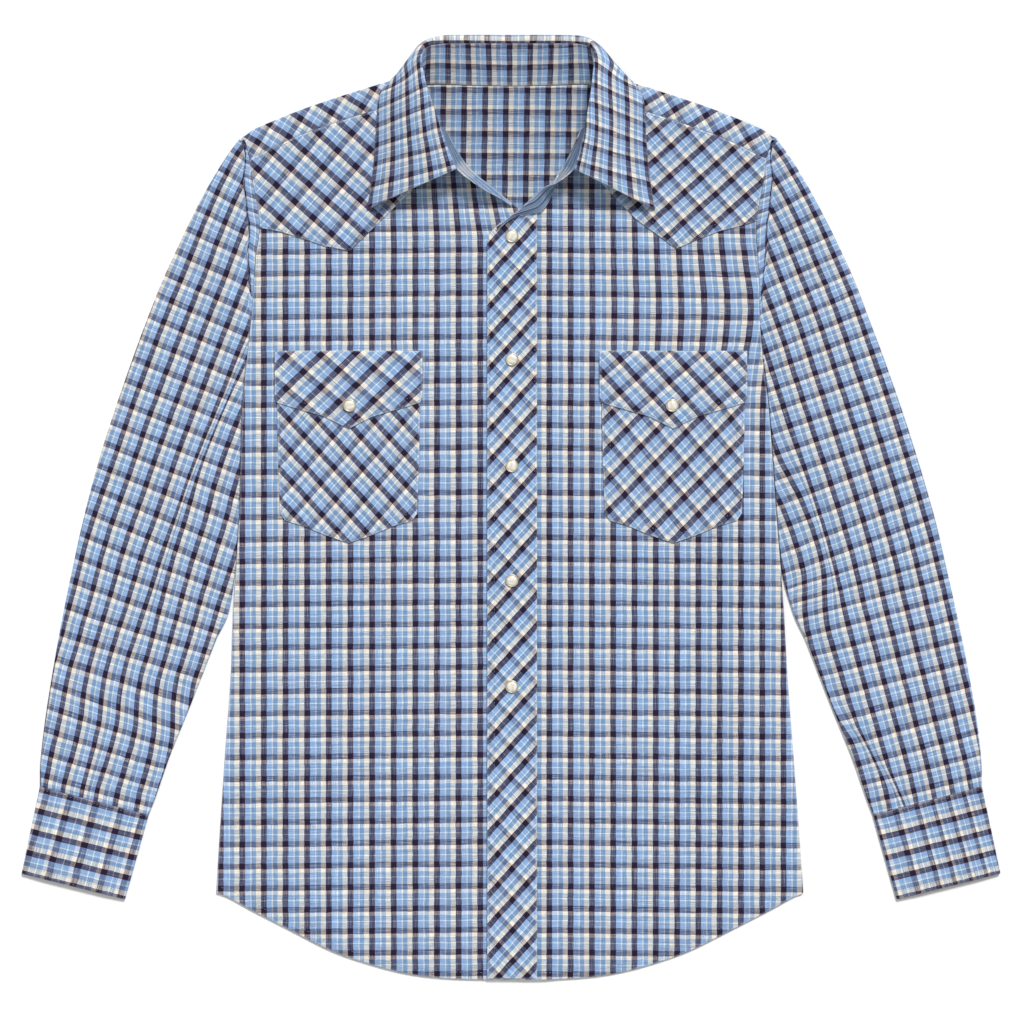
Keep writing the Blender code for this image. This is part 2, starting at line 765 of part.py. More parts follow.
def cuff_ring(outer, inner):
    """One closed loop round a cuff: the floor, the outer fold, the top and the inner fold."""
    outer, inner = np.array(outer), np.array(inner)
    width = np.linalg.norm(inner - outer)
    inward = (inner - outer) / width
    radius = CUFF_FOLD_HEIGHT / 2
    loop = [(width - radius, 0.0), (radius, 0.0)]
    for k in range(1, FOLD_STEPS):
        turn = math.pi * k / FOLD_STEPS
        loop.append((radius * (1 - math.sin(turn)), radius * (1 - math.cos(turn))))
    loop.append((radius, CUFF_FOLD_HEIGHT))
    loop.append((0.3 * width, CUFF_HEIGHT))
    loop.append((0.7 * width, CUFF_HEIGHT))
    loop.append((width - radius, CUFF_FOLD_HEIGHT))
    for k in range(1, FOLD_STEPS):
        turn = math.pi * k / FOLD_STEPS
        loop.append((width - radius * (1 - math.sin(turn)), radius * (1 + math.cos(turn))))
    return [(*(outer + inward * across), z) for across, z in loop]


def make_cuffs(cloth, parent):
    """Cuffs are flattened rings a little thicker than the sleeves."""
    for word, side in SIDES.items():
        ends = [[(side * x, y) for x, y in pair] for pair in (CUFF_TOP, CUFF_BOTTOM)]
        rings = []
        for share in (0.0, 0.5, 1.0):
            outer = mix(np.array(ends[0][0]), np.array(ends[1][0]), share)
            inner = mix(np.array(ends[0][1]), np.array(ends[1][1]), share)
            rings.append(cuff_ring(outer, inner))
        count = len(rings[0])
        points = [p for ring in rings for p in ring]
        faces = []
        for r in range(len(rings) - 1):
            for k in range(count):
                after = (k + 1) % count
                low, high = r * count, (r + 1) * count
                faces.append((low + k, low + after, high + after, high + k))
        if side == RIGHT:
            faces = [tuple(reversed(face)) for face in faces]
        points, closed = backed(points, faces, CUFF_WALL)
        add_object(f"cuff_{word}", points, closed, cloth, parent)


def placed(point, side, shift=0.0):
    """A collar point on its own side of the middle."""
    return (side * (point[0] + shift), point[1], point[2])


def stand_rows(side):
    """Neck and top points of the stand from the middle of the back to one front end."""
    rows = []
    for neck, top, _, _, _, shift in COLLAR_ROWS:
        shift = shift if side == LEFT else 0.0
        neck_shift = max(shift, 0.0) if side == LEFT else 0.0
        rows.append((*placed(neck, side, neck_shift), *placed(top, side, shift)))
    for neck, top in STAND_ENDS[side]:
        rows.append((*placed(neck, side), *placed(top, side)))
    return rows


def make_stand(cloth, parent):
    """The stand: a band from one front end round the neck to the other."""
    right = stand_rows(RIGHT)
    left = stand_rows(LEFT)
    rows = curve_points(right[::-1] + left[1:], ROW_STEPS)
    points = []
    for row in rows:
        neck, top = row[:3], row[3:]
        points += [tuple(mix(neck, top, k / STAND_STEPS)) for k in range(STAND_STEPS + 1)]
    faces = [face[::-1] for face in grid_faces(len(rows), STAND_STEPS + 1)]
    points, closed = backed(points, faces, CLOTH)
    add_object("collar_stand", points, closed, cloth, parent)


def leaf_rows(side):
    """Start, two curve handles and hem of each leaf section on one side."""
    rows = []
    for neck, top, hem, facing, under, shift in COLLAR_ROWS:
        shift = shift if side == LEFT else 0.0
        neck_shift = max(shift, 0.0)
        low = np.array(placed(neck, side, neck_shift))
        high = np.array(placed(top, side, shift))
        end = np.array(placed(hem, side))
        up = (high - low) / np.linalg.norm(high - low)
        start = high + up * LEAF_SEAM_GAP
        turn = math.radians(facing)
        out = np.array((-side * math.cos(turn), math.sin(turn), 0.0))
        first = start + up * mix(*LEAF_LIFT, under)
        second = end + out * mix(*LEAF_TUCK, under) + np.array((0, 0, mix(*LEAF_DROP, under)))
        rows.append((*start, *first, *second, *end))
    return rows


def make_leaf(cloth, parent):
    """The leaf rolls over from the top of the stand and lies down on the yokes."""
    rows = curve_points(leaf_rows(RIGHT)[::-1] + leaf_rows(LEFT)[1:], ROW_STEPS)
    points = []
    for row in rows:
        start, first, second, end = row[:3], row[3:6], row[6:9], row[9:]
        for t in LEAF_STEPS:
            s = 1 - t
            p = s**3 * start + 3 * s * s * t * first + 3 * s * t * t * second + t**3 * end
            points.append((p[0], p[1], max(p[2], 0.0)))
    faces = [face[::-1] for face in grid_faces(len(rows), len(LEAF_STEPS))]
    points, closed = backed(points, faces, CLOTH)
    add_object("collar_leaf", points, closed, cloth, parent)


def main():
    """Builds the whole shirt."""
    clear_scene()
    shirt = bpy.data.objects.new("shirt", None)
    bpy.context.scene.collection.objects.link(shirt)
    plaid = cloth_material("plaid_cloth", BLUE_PLAID)
    bias = cloth_material("bias_plaid_cloth", BIAS_PLAID)
    pearl = cloth_material("pearl_snap", PEARL, roughness=0.3)
    make_back(plaid, shirt)
    make_back_yoke(bias, shirt)
    make_fronts(plaid, shirt)
    make_front_yokes(bias, shirt)
    low_line = [(x, HEM_CENTRE_Y + HEM_DROP) for x in (-LAP_RAMP[1], 0, LAP_RAMP[1])]
    slab("placket", placket_outline(), placket_underside, bias, shirt, [low_line])
    make_pockets(bias, shirt)
    make_snaps(pearl, shirt)
    make_sleeves(plaid, shirt)
    make_cuffs(plaid, shirt)
    make_stand(plaid, shirt)
    make_leaf(plaid, shirt)


main()
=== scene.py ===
import math

import bpy
import numpy as np
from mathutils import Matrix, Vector
from mathutils.bvhtree import BVHTree
from mathutils.geometry import delaunay_2d_cdt


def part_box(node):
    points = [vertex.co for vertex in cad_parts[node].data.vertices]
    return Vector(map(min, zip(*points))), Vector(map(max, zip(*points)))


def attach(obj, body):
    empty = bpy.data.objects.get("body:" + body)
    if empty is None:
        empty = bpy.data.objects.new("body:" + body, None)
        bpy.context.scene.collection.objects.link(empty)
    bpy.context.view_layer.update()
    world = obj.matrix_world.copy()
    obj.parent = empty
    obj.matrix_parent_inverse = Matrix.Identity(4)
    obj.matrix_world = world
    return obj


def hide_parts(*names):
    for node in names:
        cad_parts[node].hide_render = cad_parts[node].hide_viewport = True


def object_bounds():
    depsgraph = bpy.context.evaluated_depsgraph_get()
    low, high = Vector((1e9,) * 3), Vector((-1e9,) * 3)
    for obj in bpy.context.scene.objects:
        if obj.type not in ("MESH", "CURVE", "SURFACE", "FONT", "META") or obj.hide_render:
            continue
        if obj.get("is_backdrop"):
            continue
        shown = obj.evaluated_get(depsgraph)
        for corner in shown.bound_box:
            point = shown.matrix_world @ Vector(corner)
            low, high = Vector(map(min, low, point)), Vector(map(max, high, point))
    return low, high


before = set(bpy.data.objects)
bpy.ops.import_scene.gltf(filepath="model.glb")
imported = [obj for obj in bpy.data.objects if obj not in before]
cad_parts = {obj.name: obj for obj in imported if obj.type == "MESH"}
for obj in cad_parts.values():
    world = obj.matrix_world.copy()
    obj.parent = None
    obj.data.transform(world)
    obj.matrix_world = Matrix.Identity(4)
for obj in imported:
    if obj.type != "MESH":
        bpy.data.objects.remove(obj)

cad_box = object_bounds()

# Sizes and tables are millimetres. The shirt lies on z = 0, collar towards +Y, wearer's right at -X.
MM = 0.001
RIGHT, LEFT = -1, 1
SIDES = {"right": RIGHT, "left": LEFT}
# Column of BODY_EDGE, and how much narrower the shoulder lies
EDGE_COLUMN = {RIGHT: 1, LEFT: 2}
NARROWER = {RIGHT: 0, LEFT: 5}

# Thickness of a layer, and the height of each layer's upper face
LAYER = 1.3
BACK_TOP = 1
INNER_TOP = 2.3
FRONT_TOP = 3.6
OVER_TOP = 4.9
TOP_TOP = 6.2
# Thickness of the cloth, and how far its rim bulges
WALL = 0.8
BULGE = 0.3
# Where the rows of points along a hemmed edge and a raw edge lie
HEM_ROWS = (0.6, 1.4, 2.4, 3.8, 5.4, 7.2)
RAW_ROWS = (0.8, 2.2)

HEM_CENTRE_Y = -410.5
PLACKET_EDGES = (-20.5, 22.5)
RIGHT_FRONT_REACH = 18
LAP_RAMP = (25, 45)
HEM_DROP = 15
SIDE_DROP = 18
SIDE_DROP_Y = (-150, -90)
POCKET_CENTRE = 141
FLAP_TOP_Y = 136
FLAP_RAMP_Y = 128
POCKET_TOP_Y = 125
SHOULDER_FOLD_RADIUS = 1.9
BACK_TOP_XS = (200, 183, 158, 131, 92, 84, 62, 36, 0)
SLEEVE_GAP = 0.6
HEM_INSET = 1
INNER_YOKE_LAP = 8
INNER_YOKE_INSET = 3
UNDERARM_Y = 127
SLEEVE_FOLD_HEIGHT = 3.2
# Rows of SLEEVE_ROWS from this one on lie below the underarm
FIRST_CLOSED_ROW = 8
SLEEVE_STEPS = 15
FOLD_STEPS = 6
CUFF_STEPS = 40
CUFF_HEIGHT = 4.6
CUFF_FOLD_HEIGHT = 3.8
# Handles of the leaf's curve, where it lies flat and where it is folded under: how far the first
# rises, how far out and how high the second lies
LEAF_LIFT = (10, 14)
LEAF_TUCK = (-18, 43)
LEAF_DROP = (13, -3)
LEAF_SEAM_GAP = 0.6

# Columns: height, distance of the body's edge from the middle on the wearer's right, on the left
BODY_EDGE = (
    (-335, 256, 254), (-270, 252, 249.5), (-210, 248, 245), (-150, 243.5, 240.5), (-90, 241, 237),
    (-50, 238.5, 234), (0, 235.5, 230), (45, 234.5, 227), (90, 233, 223.5), (127, 229.5, 219),
    (165, 225.5, 216), (200, 223, 215.5), (220, 221.5, 214), (243, 218, 213), (262, 220, 215),
    (282, 224, 219), (303, 227, 222), (318, 231, 226),
)
# Columns: distance from the middle, height of the hem
HEM = (
    (0, HEM_CENTRE_Y), (50, -409.5), (90, -405), (125, -396), (156, -385), (190, -368), (225, -350),
    (245, -339), (256, -335),
)
# Columns: distance from the middle, height of the shoulder's fold, height of its seam
SHOULDER = (
    (92, 375, 353), (131, 363, 341), (158, 354.3, 332), (183, 345.6, 323.4), (205, 336.8, 313.4),
    (218, 331.3, 306.5), (220, 330.4, 305.4), (224, 328.5, 304), (227, 326.5, 302.5), (231, 323.4, 318),
)
# One row more, for the back yoke's tip over the sleeve
SHOULDER_TIP = (235.5, 321.2, 317.4)
# The neck seam. Columns: distance from the middle (negative past it), height
NECK_BACK = ((0, 366), (36, 366.6), (62, 367.4), (84, 366))
NECK_FRONT = {
    RIGHT: (
        (83.4, 352), (77.3, 342.5), (68.6, 334.7), (57, 328), (50, 315), (39.5, 299), (28, 287.5),
        (17.6, 279.6), (8, 271.5), (-2, 263),
    ),
    LEFT: (
        (83.4, 352), (77.3, 342.5), (69, 334.7), (61, 328), (54.5, 315), (47, 299), (37, 283), (33, 270),
        (26, 258),
    ),
}
# Columns: place across, height
PLACKET_TOP = ((22.5, 256), (13, 253.8), (2.6, 252), (-9.5, 247), (-18, 239), (-20.5, 229))
# The front yokes' lower edges, from armhole to neck. Columns: distance from the middle, height
YOKE_EDGE = {
    RIGHT: ((218, 243), (200.5, 239.7), (182, 234), (161, 227), (139.8, 223), (109.4, 253), (53, 308)),
    LEFT: ((213.6, 249), (202, 245.3), (180.6, 240), (162.4, 233), (143.5, 225), (108, 251), (56, 306)),
}
# Lower edge. Columns: distance from the middle, height
BACK_YOKE_EDGE = ((0, 190), (60, 212), (110, 222), (165, 229), (218, 243))
YOKE_CORNER_Y = BACK_YOKE_EDGE[-1][1]
# Half outlines of pocket and flap. Columns: distance from the pocket's middle, height
POCKET_HALF = (
    (61.5, POCKET_TOP_Y), (62, 85), (61, 40), (59.5, -5), (55, -11.5), (39, -16), (20, -24), (0, -31),
)
FLAP_HALF = ((64, FLAP_TOP_Y), (64, FLAP_RAMP_Y), (64, 96), (62, 91), (40, 84.5), (21, 79), (0, 68.5))

# Sleeve sections. Columns: height and distance of the outer fold, how much nearer the left one
# is, height and distance of the inner end (None on the armhole), height of the cloth there,
# height of the cloth at mid sleeve
SLEEVE_ROWS = (
    (321, 236, 5, 314, None, 4.4, 4), (315.5, 240, 5, 303, None, 4.6, 4.4),
    (302, 249.5, 5, 282, None, 4.9, 5.2), (284, 260.5, 5, 262, None, 4.8, 5.4),
    (266, 270.5, 5, 243, None, 4.6, 5.4), (246, 280.5, 4.6, 220, None, 4.2, 5.6),
    (228, 289, 4.3, 200, None, 3.8, 5.6), (197, 303.2, 4.4, 165, None, 3.2, 5.6),
    (163, 316.7, 5, UNDERARM_Y, None, 2.6, 5.6), (128, 329.5, 4.6, 90, None, 2.6, 5.6),
    (83, 345.2, 4.6, 45, None, 2.6, 5.6), (40, 358.7, 4.4, 0, None, 2.6, 5.6),
    (-11, 372, 3, -50, None, 2.8, 5.6), (-47, 380, 2.7, -90, 245.2, 3, 5.6),
    (-80.5, 387, 2, -115, 256.5, 3.2, 5.6), (-115, 393.6, 1.2, -148, 269.4, 3.2, 5.6),
    (-150, 399.7, 0.6, -183, 283.3, 3.2, 5.6), (-184.7, 405, 0, -217, 297, 3.2, 5.4),
    (-219.4, 409, 0, -250, 308.5, 3.2, 5), (-242, 409.5, 0, -266.5, 314.8, 3.2, 4.6),
)
# Outer and inner corners of the cuffs. Columns: distance from the middle, height
CUFF_TOP = ((409.6, -242.6), (315, -267.2))
CUFF_BOTTOM = ((425.5, -318), (335.5, -340.4))

# Collar sections. Columns: neck seam, top of the stand, hem of the leaf, the way the leaf faces
# in degrees, how far it is folded under, how far the left side's top lies further out
COLLAR_ROWS = (
    ((0, 366.7, 2.9), (0, 402, 9.3), (0, 370.5, 0), 90, 1, 0),
    ((36, 367.4, 2.9), (37, 402, 9.8), (35, 370.5, 0), 92, 1, 0),
    ((62, 368.4, 3.1), (61.5, 401.2, 11.6), (59, 372, 0), 100, 0.95, -1.5),
    ((75.6, 367, 3.5), (73.5, 396.5, 16), (78, 377, 0.8), 120, 0.72, -4),
    ((83.4, 360.8, 4.4), (76.8, 384.5, 21), (95, 378, 3.4), 145, 0.42, -5),
    ((83.4, 353, 5.5), (74.8, 369.5, 25), (106, 369.5, 6.8), 164, 0.16, -4),
    ((77.3, 342.5, 5.5), (70, 354, 27.5), (114.5, 356, 6.8), 175, 0.04, -1.5),
    ((68.6, 334.7, 5.5), (64.5, 338.5, 28.5), (116.5, 339, 6.4), 180, 0, 1),
    ((57, 328, 5.5), (58.8, 322, 29), (118, 314, 6.4), 188, 0, 4),
    ((50, 315, 5.4), (53, 306.5, 28.5), (120.5, 287, 6.4), 197, 0, 6),
    ((39.5, 299, 5.3), (46.5, 292, 26.5), (125, 258.5, 6.4), 205, 0, 7.5),
)
# The stand's sections past the leaf, to its front ends. Columns: neck seam, top
STAND_ENDS = {
    RIGHT: (
        ((28, 287.5, 4.2), (33.5, 281.5, 23)), ((17.6, 279.6, 4.2), (21.5, 274, 17)),
        ((8, 271.5, 4.2), (10, 268.8, 10.5)), ((-1, 263.8, 4.2), (-0.5, 262.3, 6.2)),
    ),
    LEFT: (
        ((40, 285, 5.6), (40.5, 281, 23.5)), ((34.5, 270.5, 5.6), (28.5, 276.5, 20)),
        ((27, 258, 7), (17.5, 267, 16.5)), ((14.5, 255, 7.6), (6.5, 257.5, 13)),
        ((3, 253, 7.8), (-0.5, 252.5, 11)), ((-12, 241, 7.8), (-12.5, 243.5, 9.4)),
    ),
}

# The plaid on flat pieces. Columns: a crossing of two dark stripes, the steps to the next stripes
LATTICE = {
    "back": ((13.1, 324.6), (18.5, 0), (0, -19)),
    "yoke_inner": ((13.6, 324.6), (-18.2, 0.1), (0.3, 19)),
    "placket": ((-0.1, -234.6), (12.5, -13), (12.2, 13.5)),
    "flap_right": ((-134.6, 106.1), (-15.3, 13.2), (15.1, 14.7)),
    "pocket_right": ((-140.7, 20.9), (11.7, 13.4), (13, -13.9)),
    "flap_left": ((137.4, 110), (14.4, 12.4), (14.2, -15.5)),
    "pocket_left": ((137.9, 23.3), (12.5, -14.7), (13.3, 13.4)),
    "front_yoke_right": ((-159.4, 266.5), (12.4, 14.8), (16, -14.1)),
    "front_yoke_left": ((150.7, 273.5), (12.8, -13.9), (13.9, 12.3)),
    "back_yoke_right": ((-162, 257.1), (10, 16), (17, -11)),
    "back_yoke_left": ((165.5, 270.6), (-10, 16), (-17, -11)),
}
# Straight plaid. Columns: a dark upright stripe's place, the stripes' pitch, the rise of the
# cross stripes for each mm across, how much lower they lie
FRONT_WARP = {RIGHT: (-120.7, 18.8, 0.012, -0.2), LEFT: (125.8, 18.5, -0.014, 0.4)}
# Columns: height of a dark cross stripe, its number from the top
FRONT_WEFT = (
    (355, -6), (278.5, -2), (260.8, -1), (241.5, 0), (166.4, 4), (90.1, 8), (-26.9, 14), (-120.8, 19),
    (-197.2, 23), (-272.6, 27), (-387.2, 33), (-425, 35),
)
# The right front's plaid leans near its neck: how much for each mm up, above what height, up to
# which edge, how soon it fades
NECK_LEAN = (0.28, 235, -5, 40)
# The left front's plaid leans outward beside its armhole: by how many stripes, the height of the
# middle, the reach up and down, where across it begins, how far it takes to grow
ARMHOLE_LEAN = (0.5, 172, 50, 30, 185)
# How much nearer the left sleeve's line lies. Rows: height, distance
LEFT_NEARER = ((-190, -11, 60), (0, 3, 4.8))
# The line each sleeve's stripes follow. Columns: distance from the middle, height
SLEEVE_GRAIN_LINE = (
    (225, 340), (236, 321), (249.5, 302), (270.5, 266), (289, 228), (316.7, 163), (345.2, 83),
    (372, -11), (387, -80.5), (400, -150), (412, -219), (421, -280),
)
# Sleeve plaid. Columns: distance down that line, cross stripes so far, how far down a cross
# stripe runs for each mm inwards, distance of the first upright stripe from the line, their
# pitch, share of a stripe hidden in the tuck, distance of the tuck
SLEEVE_STRIPES = {
    RIGHT: (
        (-10, -3.3, 0, 3.8, 15.5, 0, 90), (53, 0, 0, 8.3, 16.2, 0, 90),
        (113, 3, 0, 12.8, 17, 0, 90), (156, 5, 0.02, 14.3, 17.4, 0.2, 90),
        (215, 8, 0.04, 14.8, 17.4, 0.6, 89), (255, 10, 0.05, 14.4, 17.3, 0.8, 88),
        (313, 13, 0.09, 12.8, 16.9, 0.7, 83), (353, 15, 0.12, 10.3, 17, 0.55, 80.5),
        (394, 17, 0.16, 7.5, 16.7, 0.4, 79), (435, 19, 0.16, 5.7, 16.2, 0.27, 76),
        (482, 21, 0.12, 2.6, 15.4, 0, 73), (505, 22, 0.12, 0.5, 15.1, 0, 70),
        (528, 23, 0.14, -1.2, 15, 0, 70), (547, 24, 0.15, -1.2, 15, 0, 70),
        (567, 25, 0.14, -1.2, 15, 0, 70), (606, 27, 0.13, -1.2, 15, 0, 70),
        (650, 29.2, 0.12, -1.2, 15, 0, 70),
    ),
    LEFT: (
        (-10, -3.3, 0, 5, 15, 0, 100), (54, 0, 0, 6, 15.4, 0, 100),
        (117, 3, 0, 7, 16.4, 0, 100), (172, 6, 0.02, 7.2, 17.1, 0, 100),
        (227, 9, 0, 8.5, 17.5, 0, 100), (283, 12, 0.01, 8.5, 17.7, 0, 100),
        (340, 15, 0.07, 8.5, 17.5, 0.4, 99), (398, 18, 0.1, 8, 17.5, 0.45, 99),
        (450, 21, 0.05, 7, 17.6, 0, 99), (508, 24, 0.05, 5.5, 17.2, 0, 99),
        (570, 27, 0.09, 2.4, 16.7, 0, 99), (607, 29, 0.09, 0, 16.5, 0, 99),
        (650, 31.2, 0.09, -2, 16.4, 0, 99),
    ),
}
# Width over which the tuck hides its share
TUCK_WIDTH = 8
# The right sleeve's stripes spread between these distances down the line. Below, the distance
# of each stripe from the line, by distance down it, and the pitch past these stripes
SPREAD = (475, 600)
LOW_STRIPES = {
    550: (-3, 14, 34, 51, 66, 84, 101, 117),
    580: (-4, 12, 31, 47, 61, 78, 97, 113),
    610: (-6, 11, 27, 44, 56, 74, 93, 109),
    650: (-7, 10, 25, 42, 54, 72, 91, 107),
}
LOW_PITCH = 16
# A pleat above the left cuff. Columns: distance down the line, distance from it
LEFT_PLEAT = ((545, 107), (632, 71))
# Its width, how far down it takes to open, and the share of a stripe that it hides
PLEAT_WIDTH = 12
PLEAT_OPENING = 50
PLEAT_HIDES = 0.55
# The narrow band of sleeve between each armhole and the valley beside it. Columns: height,
# width of the band, depth of the valley
CAP = (
    (323, 0.4, 0), (307, 3.5, 1.1), (288, 8, 2.6), (256, 10.8, 2.9), (224, 8.5, 2.4),
    (203, 5, 1.7), (185, 3, 0.9), (165, 2, 0),
)
# Where it ends, the valley's half width away from it and over it, its pitch, and the heights of
# its dark cross stripes
CAP_END = 165
VALLEY_HALF_WIDTHS = (5.5, 2.4)
BAND_PITCH = 17
CAP_BARS = (338, 326, 312, 299, 286, 269, 256, 243.5, 223.5, 204, 185, 166, 147)
# Cuff plaid: the first stripe round the wrist and their pitch, and how far from the inner fold
# each stripe along the arm lies, with the pitch past these stripes
CUFF_STRIPES = (2.2, 18.6)
CUFF_BARS = {RIGHT: (2.3, 21, 44, 67, 88), LEFT: (-2.7, 17, 36, 50, 64, 78, 91.5)}
CUFF_BAR_PITCH = 20
# Collar plaid, a row for each collar section. Columns: cross stripes counted from the front edge
# at the fold, at the hem, long stripes counted from the hem's stripe at the fold, at the hem
COLLAR_STRIPES = (
    (-5.12, -5.12, 3.05, 1.1), (-3.07, -3.07, 3.05, 1.1), (-1.69, -1.69, 3.05, 1.1),
    (-0.95, -1.3, 3.2, 1.15), (-0.25, -0.9, 3.55, 1.15), (0.57, -0.4, 3.72, 0.5),
    (1.53, 0.45, 3.87, 0.1), (2.48, 1.55, 4.17, 0), (3.44, 3, 4.37, -0.1), (4.4, 4.62, 4.45, -0.1),
    (5.35, 6.07, 4.55, -0.1),
)
# How evenly the leaf's long stripes spread, on its right and its left half
LEAF_BEND = (0.85, 0.72)
# How far the left half's count of cross stripes is from the right half's, and how much more at
# the two sections beside the middle
LEFT_COUNT = 10
LEFT_EXTRA = ((0.12,), (0.14,))
# Stand plaid: an upright stripe's place, their pitch, the long stripe's height, their pitch,
# where the front ends begin, and the one upright stripe that shows on the right end and the left
STAND_STRIPES = (-1.2, 17.8, 15.5, 18.1, 128, -7.6, 7.4)

CREASE_SCALE = 1.35
# Waves on the sleeves. Columns: height, size, seed by side, seed
SLEEVE_WAVES = ((0.3, 75, 1.3, 2), (0.16, 34, 0.7, 4))
# Creases. Columns: height (troughs are negative), half width, the line
SLEEVE_CREASES = {
    RIGHT: (
        (1.3, 7.5, ((-262, 66), (-272, 50), (-281, 30), (-287, 4), (-293, -14), (-303, -42), (-313, -66))),
        (-1.2, 6, ((-254, 74), (-266, 54), (-275, 32), (-281, 6), (-287, -14), (-297, -40))),
        (-0.9, 6, ((-270, 95), (-287, 50), (-301, 5), (-313, -26))),
        (0.8, 7, ((-339, -78), (-347, -140), (-352, -190), (-357, -236))),
        (-0.8, 6, ((-330, -90), (-339, -150), (-345, -205))),
        (-0.9, 7, ((-292, 206), (-265, 199), (-240, 189))),
        (0.7, 6, ((-292, 190), (-262, 182), (-238, 170))),
        (-0.7, 7, ((-361, 26), (-338, 20), (-313, 11))),
        (0.7, 8, ((-387, -96), (-350, -108), (-313, -119))),
        (-0.8, 6, ((-392, -120), (-362, -130), (-330, -139))),
        (-0.7, 5, ((-236, 110), (-262, 88), (-290, 72))),
        (0.6, 6, ((-240, 40), (-262, 14), (-275, -20))),
        (-0.8, 6, ((-262, -130), (-290, -160), (-310, -200))),
        (0.8, 5, ((-300, -190), (-322, -216), (-336, -246))),
        (-0.9, 4, ((-346, -206), (-352, -228), (-356, -250))),
        (0.7, 4, ((-374, -208), (-380, -230), (-384, -246))),
    ),
    LEFT: (
        (1.1, 6.5, ((264, 44), (272, 14), (281, -16), (290, -50), (296, -78))),
        (-1.1, 5.5, ((256, 43), (265, 12), (275, -20), (283, -52))),
        (-0.9, 5, ((276, 66), (266, 20), (262, -20))), (0.9, 6, ((294, -58), (328, -54), (364, -44))),
        (-0.8, 6, ((290, -78), (330, -76), (366, -66))),
        (0.8, 7, ((311, -115), (346, -110), (381, -98))),
        (-0.9, 6, ((300, -136), (340, -134), (384, -124))),
        (0.8, 7, ((324, -167), (356, -166), (386, -158))),
        (-0.8, 6, ((322, -190), (360, -190), (392, -182))),
        (0.7, 6, ((337, -219), (366, -218), (394, -208))),
        (-1, 6, ((232, 190), (262, 200), (284, 208))), (0.7, 6, ((232, 160), (258, 172), (282, 178))),
        (-0.7, 5, ((240, 108), (262, 122), (292, 128))), (0.7, 6, ((254, -10), (252, -50), (262, -96))),
        (-0.8, 5, ((300, -196), (318, -224), (330, -250))),
    ),
}
FRONT_CREASES = (
    (0.35, 16, ((-205, 205), (-150, 175), (-90, 160), (-45, 165))),
    (-0.3, 18, ((-210, 165), (-190, 100), (-200, 20))),
    (0.3, 20, ((-190, -60), (-130, -110), (-80, -190))),
    (-0.3, 22, ((-60, -40), (-90, -130), (-70, -230))),
    (0.3, 18, ((-230, -160), (-190, -230), (-170, -330))),
    (-0.28, 16, ((-150, -250), (-100, -300), (-40, -330))),
    (0.35, 16, ((200, 205), (150, 180), (95, 165), (50, 172))),
    (-0.3, 18, ((205, 150), (196, 80), (204, 10))), (0.3, 20, ((80, -50), (120, -120), (110, -220))),
    (-0.3, 22, ((210, -80), (180, -170), (200, -270))),
    (0.3, 18, ((60, -260), (100, -320), (160, -350))), (-0.28, 16, ((40, 60), (52, -20), (40, -110))),
)

# Cut of each piece. Columns: flat width, length and area in metres, how it lies, what it lies on
CUT = {
    "back": (0.52, 0.66, 0.288, "laid", ()),
    "back_yoke": (0.47, 0.215, 0.0675, "folded", ("back",)),
    "yoke_inner": (0.46, 0.19, 0.0616, "laid", ("back_yoke",)),
    "front_right": (0.276, 0.77, 0.181, "laid", ("back",)),
    "front_left": (0.276, 0.77, 0.177, "laid", ("back", "front_right")),
    "front_yoke_right": (0.185, 0.14, 0.0141, "laid", ("front_right",)),
    "front_yoke_left": (0.175, 0.14, 0.0131, "laid", ("front_left",)),
    "placket": (0.043, 0.665, 0.0283, "laid", ("front_left",)),
    "pocket_right": (0.124, 0.157, 0.0177, "laid", ("front_right",)),
    "pocket_left": (0.124, 0.157, 0.0177, "laid", ("front_left",)),
    "flap_right": (0.128, 0.068, 0.0070, "laid", ("pocket_right",)),
    "flap_left": (0.128, 0.068, 0.0070, "laid", ("pocket_left",)),
    "sleeve_right": (0.33, 0.60, 0.1215, "laid", ()),
    "sleeve_left": (0.33, 0.60, 0.1196, "laid", ()),
    "cuff_right": (0.19, 0.078, 0.0144, "laid", ("sleeve_right",)),
    "cuff_left": (0.19, 0.078, 0.0144, "laid", ("sleeve_left",)),
    "collar_stand": (0.36, 0.038, 0.0119, "folded", ("yoke_inner",)),
    "collar_leaf": (0.40, 0.072, 0.0214, "folded", ("front_yoke_right", "front_yoke_left")),
}

# Yarns. Columns: share of the repeat, colour as seen in daylight, 0 to 255
WARP = (
    (0.269, (33, 26, 48)), (0.236, (143, 184, 231)), (0.061, (220, 232, 237)),
    (0.203, (114, 152, 194)), (0.231, (233, 230, 214)),
)
WEFT = (
    (0.266, (50, 39, 56)), (0.179, (228, 215, 203)), (0.229, (122, 142, 172)),
    (0.051, (217, 221, 218)), (0.275, (132, 144, 170)),
)
STRIPE_SOFTNESS = 0.006
THREADS = 46

# A snap cap turned about its axis. Columns: distance from the axis, height, whether it is pearl
SNAP_PROFILE = (
    (5.55, 0, 0), (5.7, 0.25, 0), (5.7, 0.7, 0), (5.5, 1.05, 0), (5.05, 1.25, 0), (4.6, 1.15, 0),
    (4.35, 1, 0), (4.25, 1.3, 1), (3.8, 1.62, 1), (3.1, 1.92, 1), (2, 2.1, 1), (1, 2.18, 1), (0, 2.2, 1),
)
SNAP_SIDES = 56
# Rows of stitches lie this far from an edge
STITCH_INSETS = (1.8, 6.5)
HEM_STITCH = 6
CUFF_STITCH_INSETS = (2, 6.5)
CUFF_STITCH_MARGIN = 3
SEAM_STITCH = 1.6
ARMHOLE_STITCH = 1.8
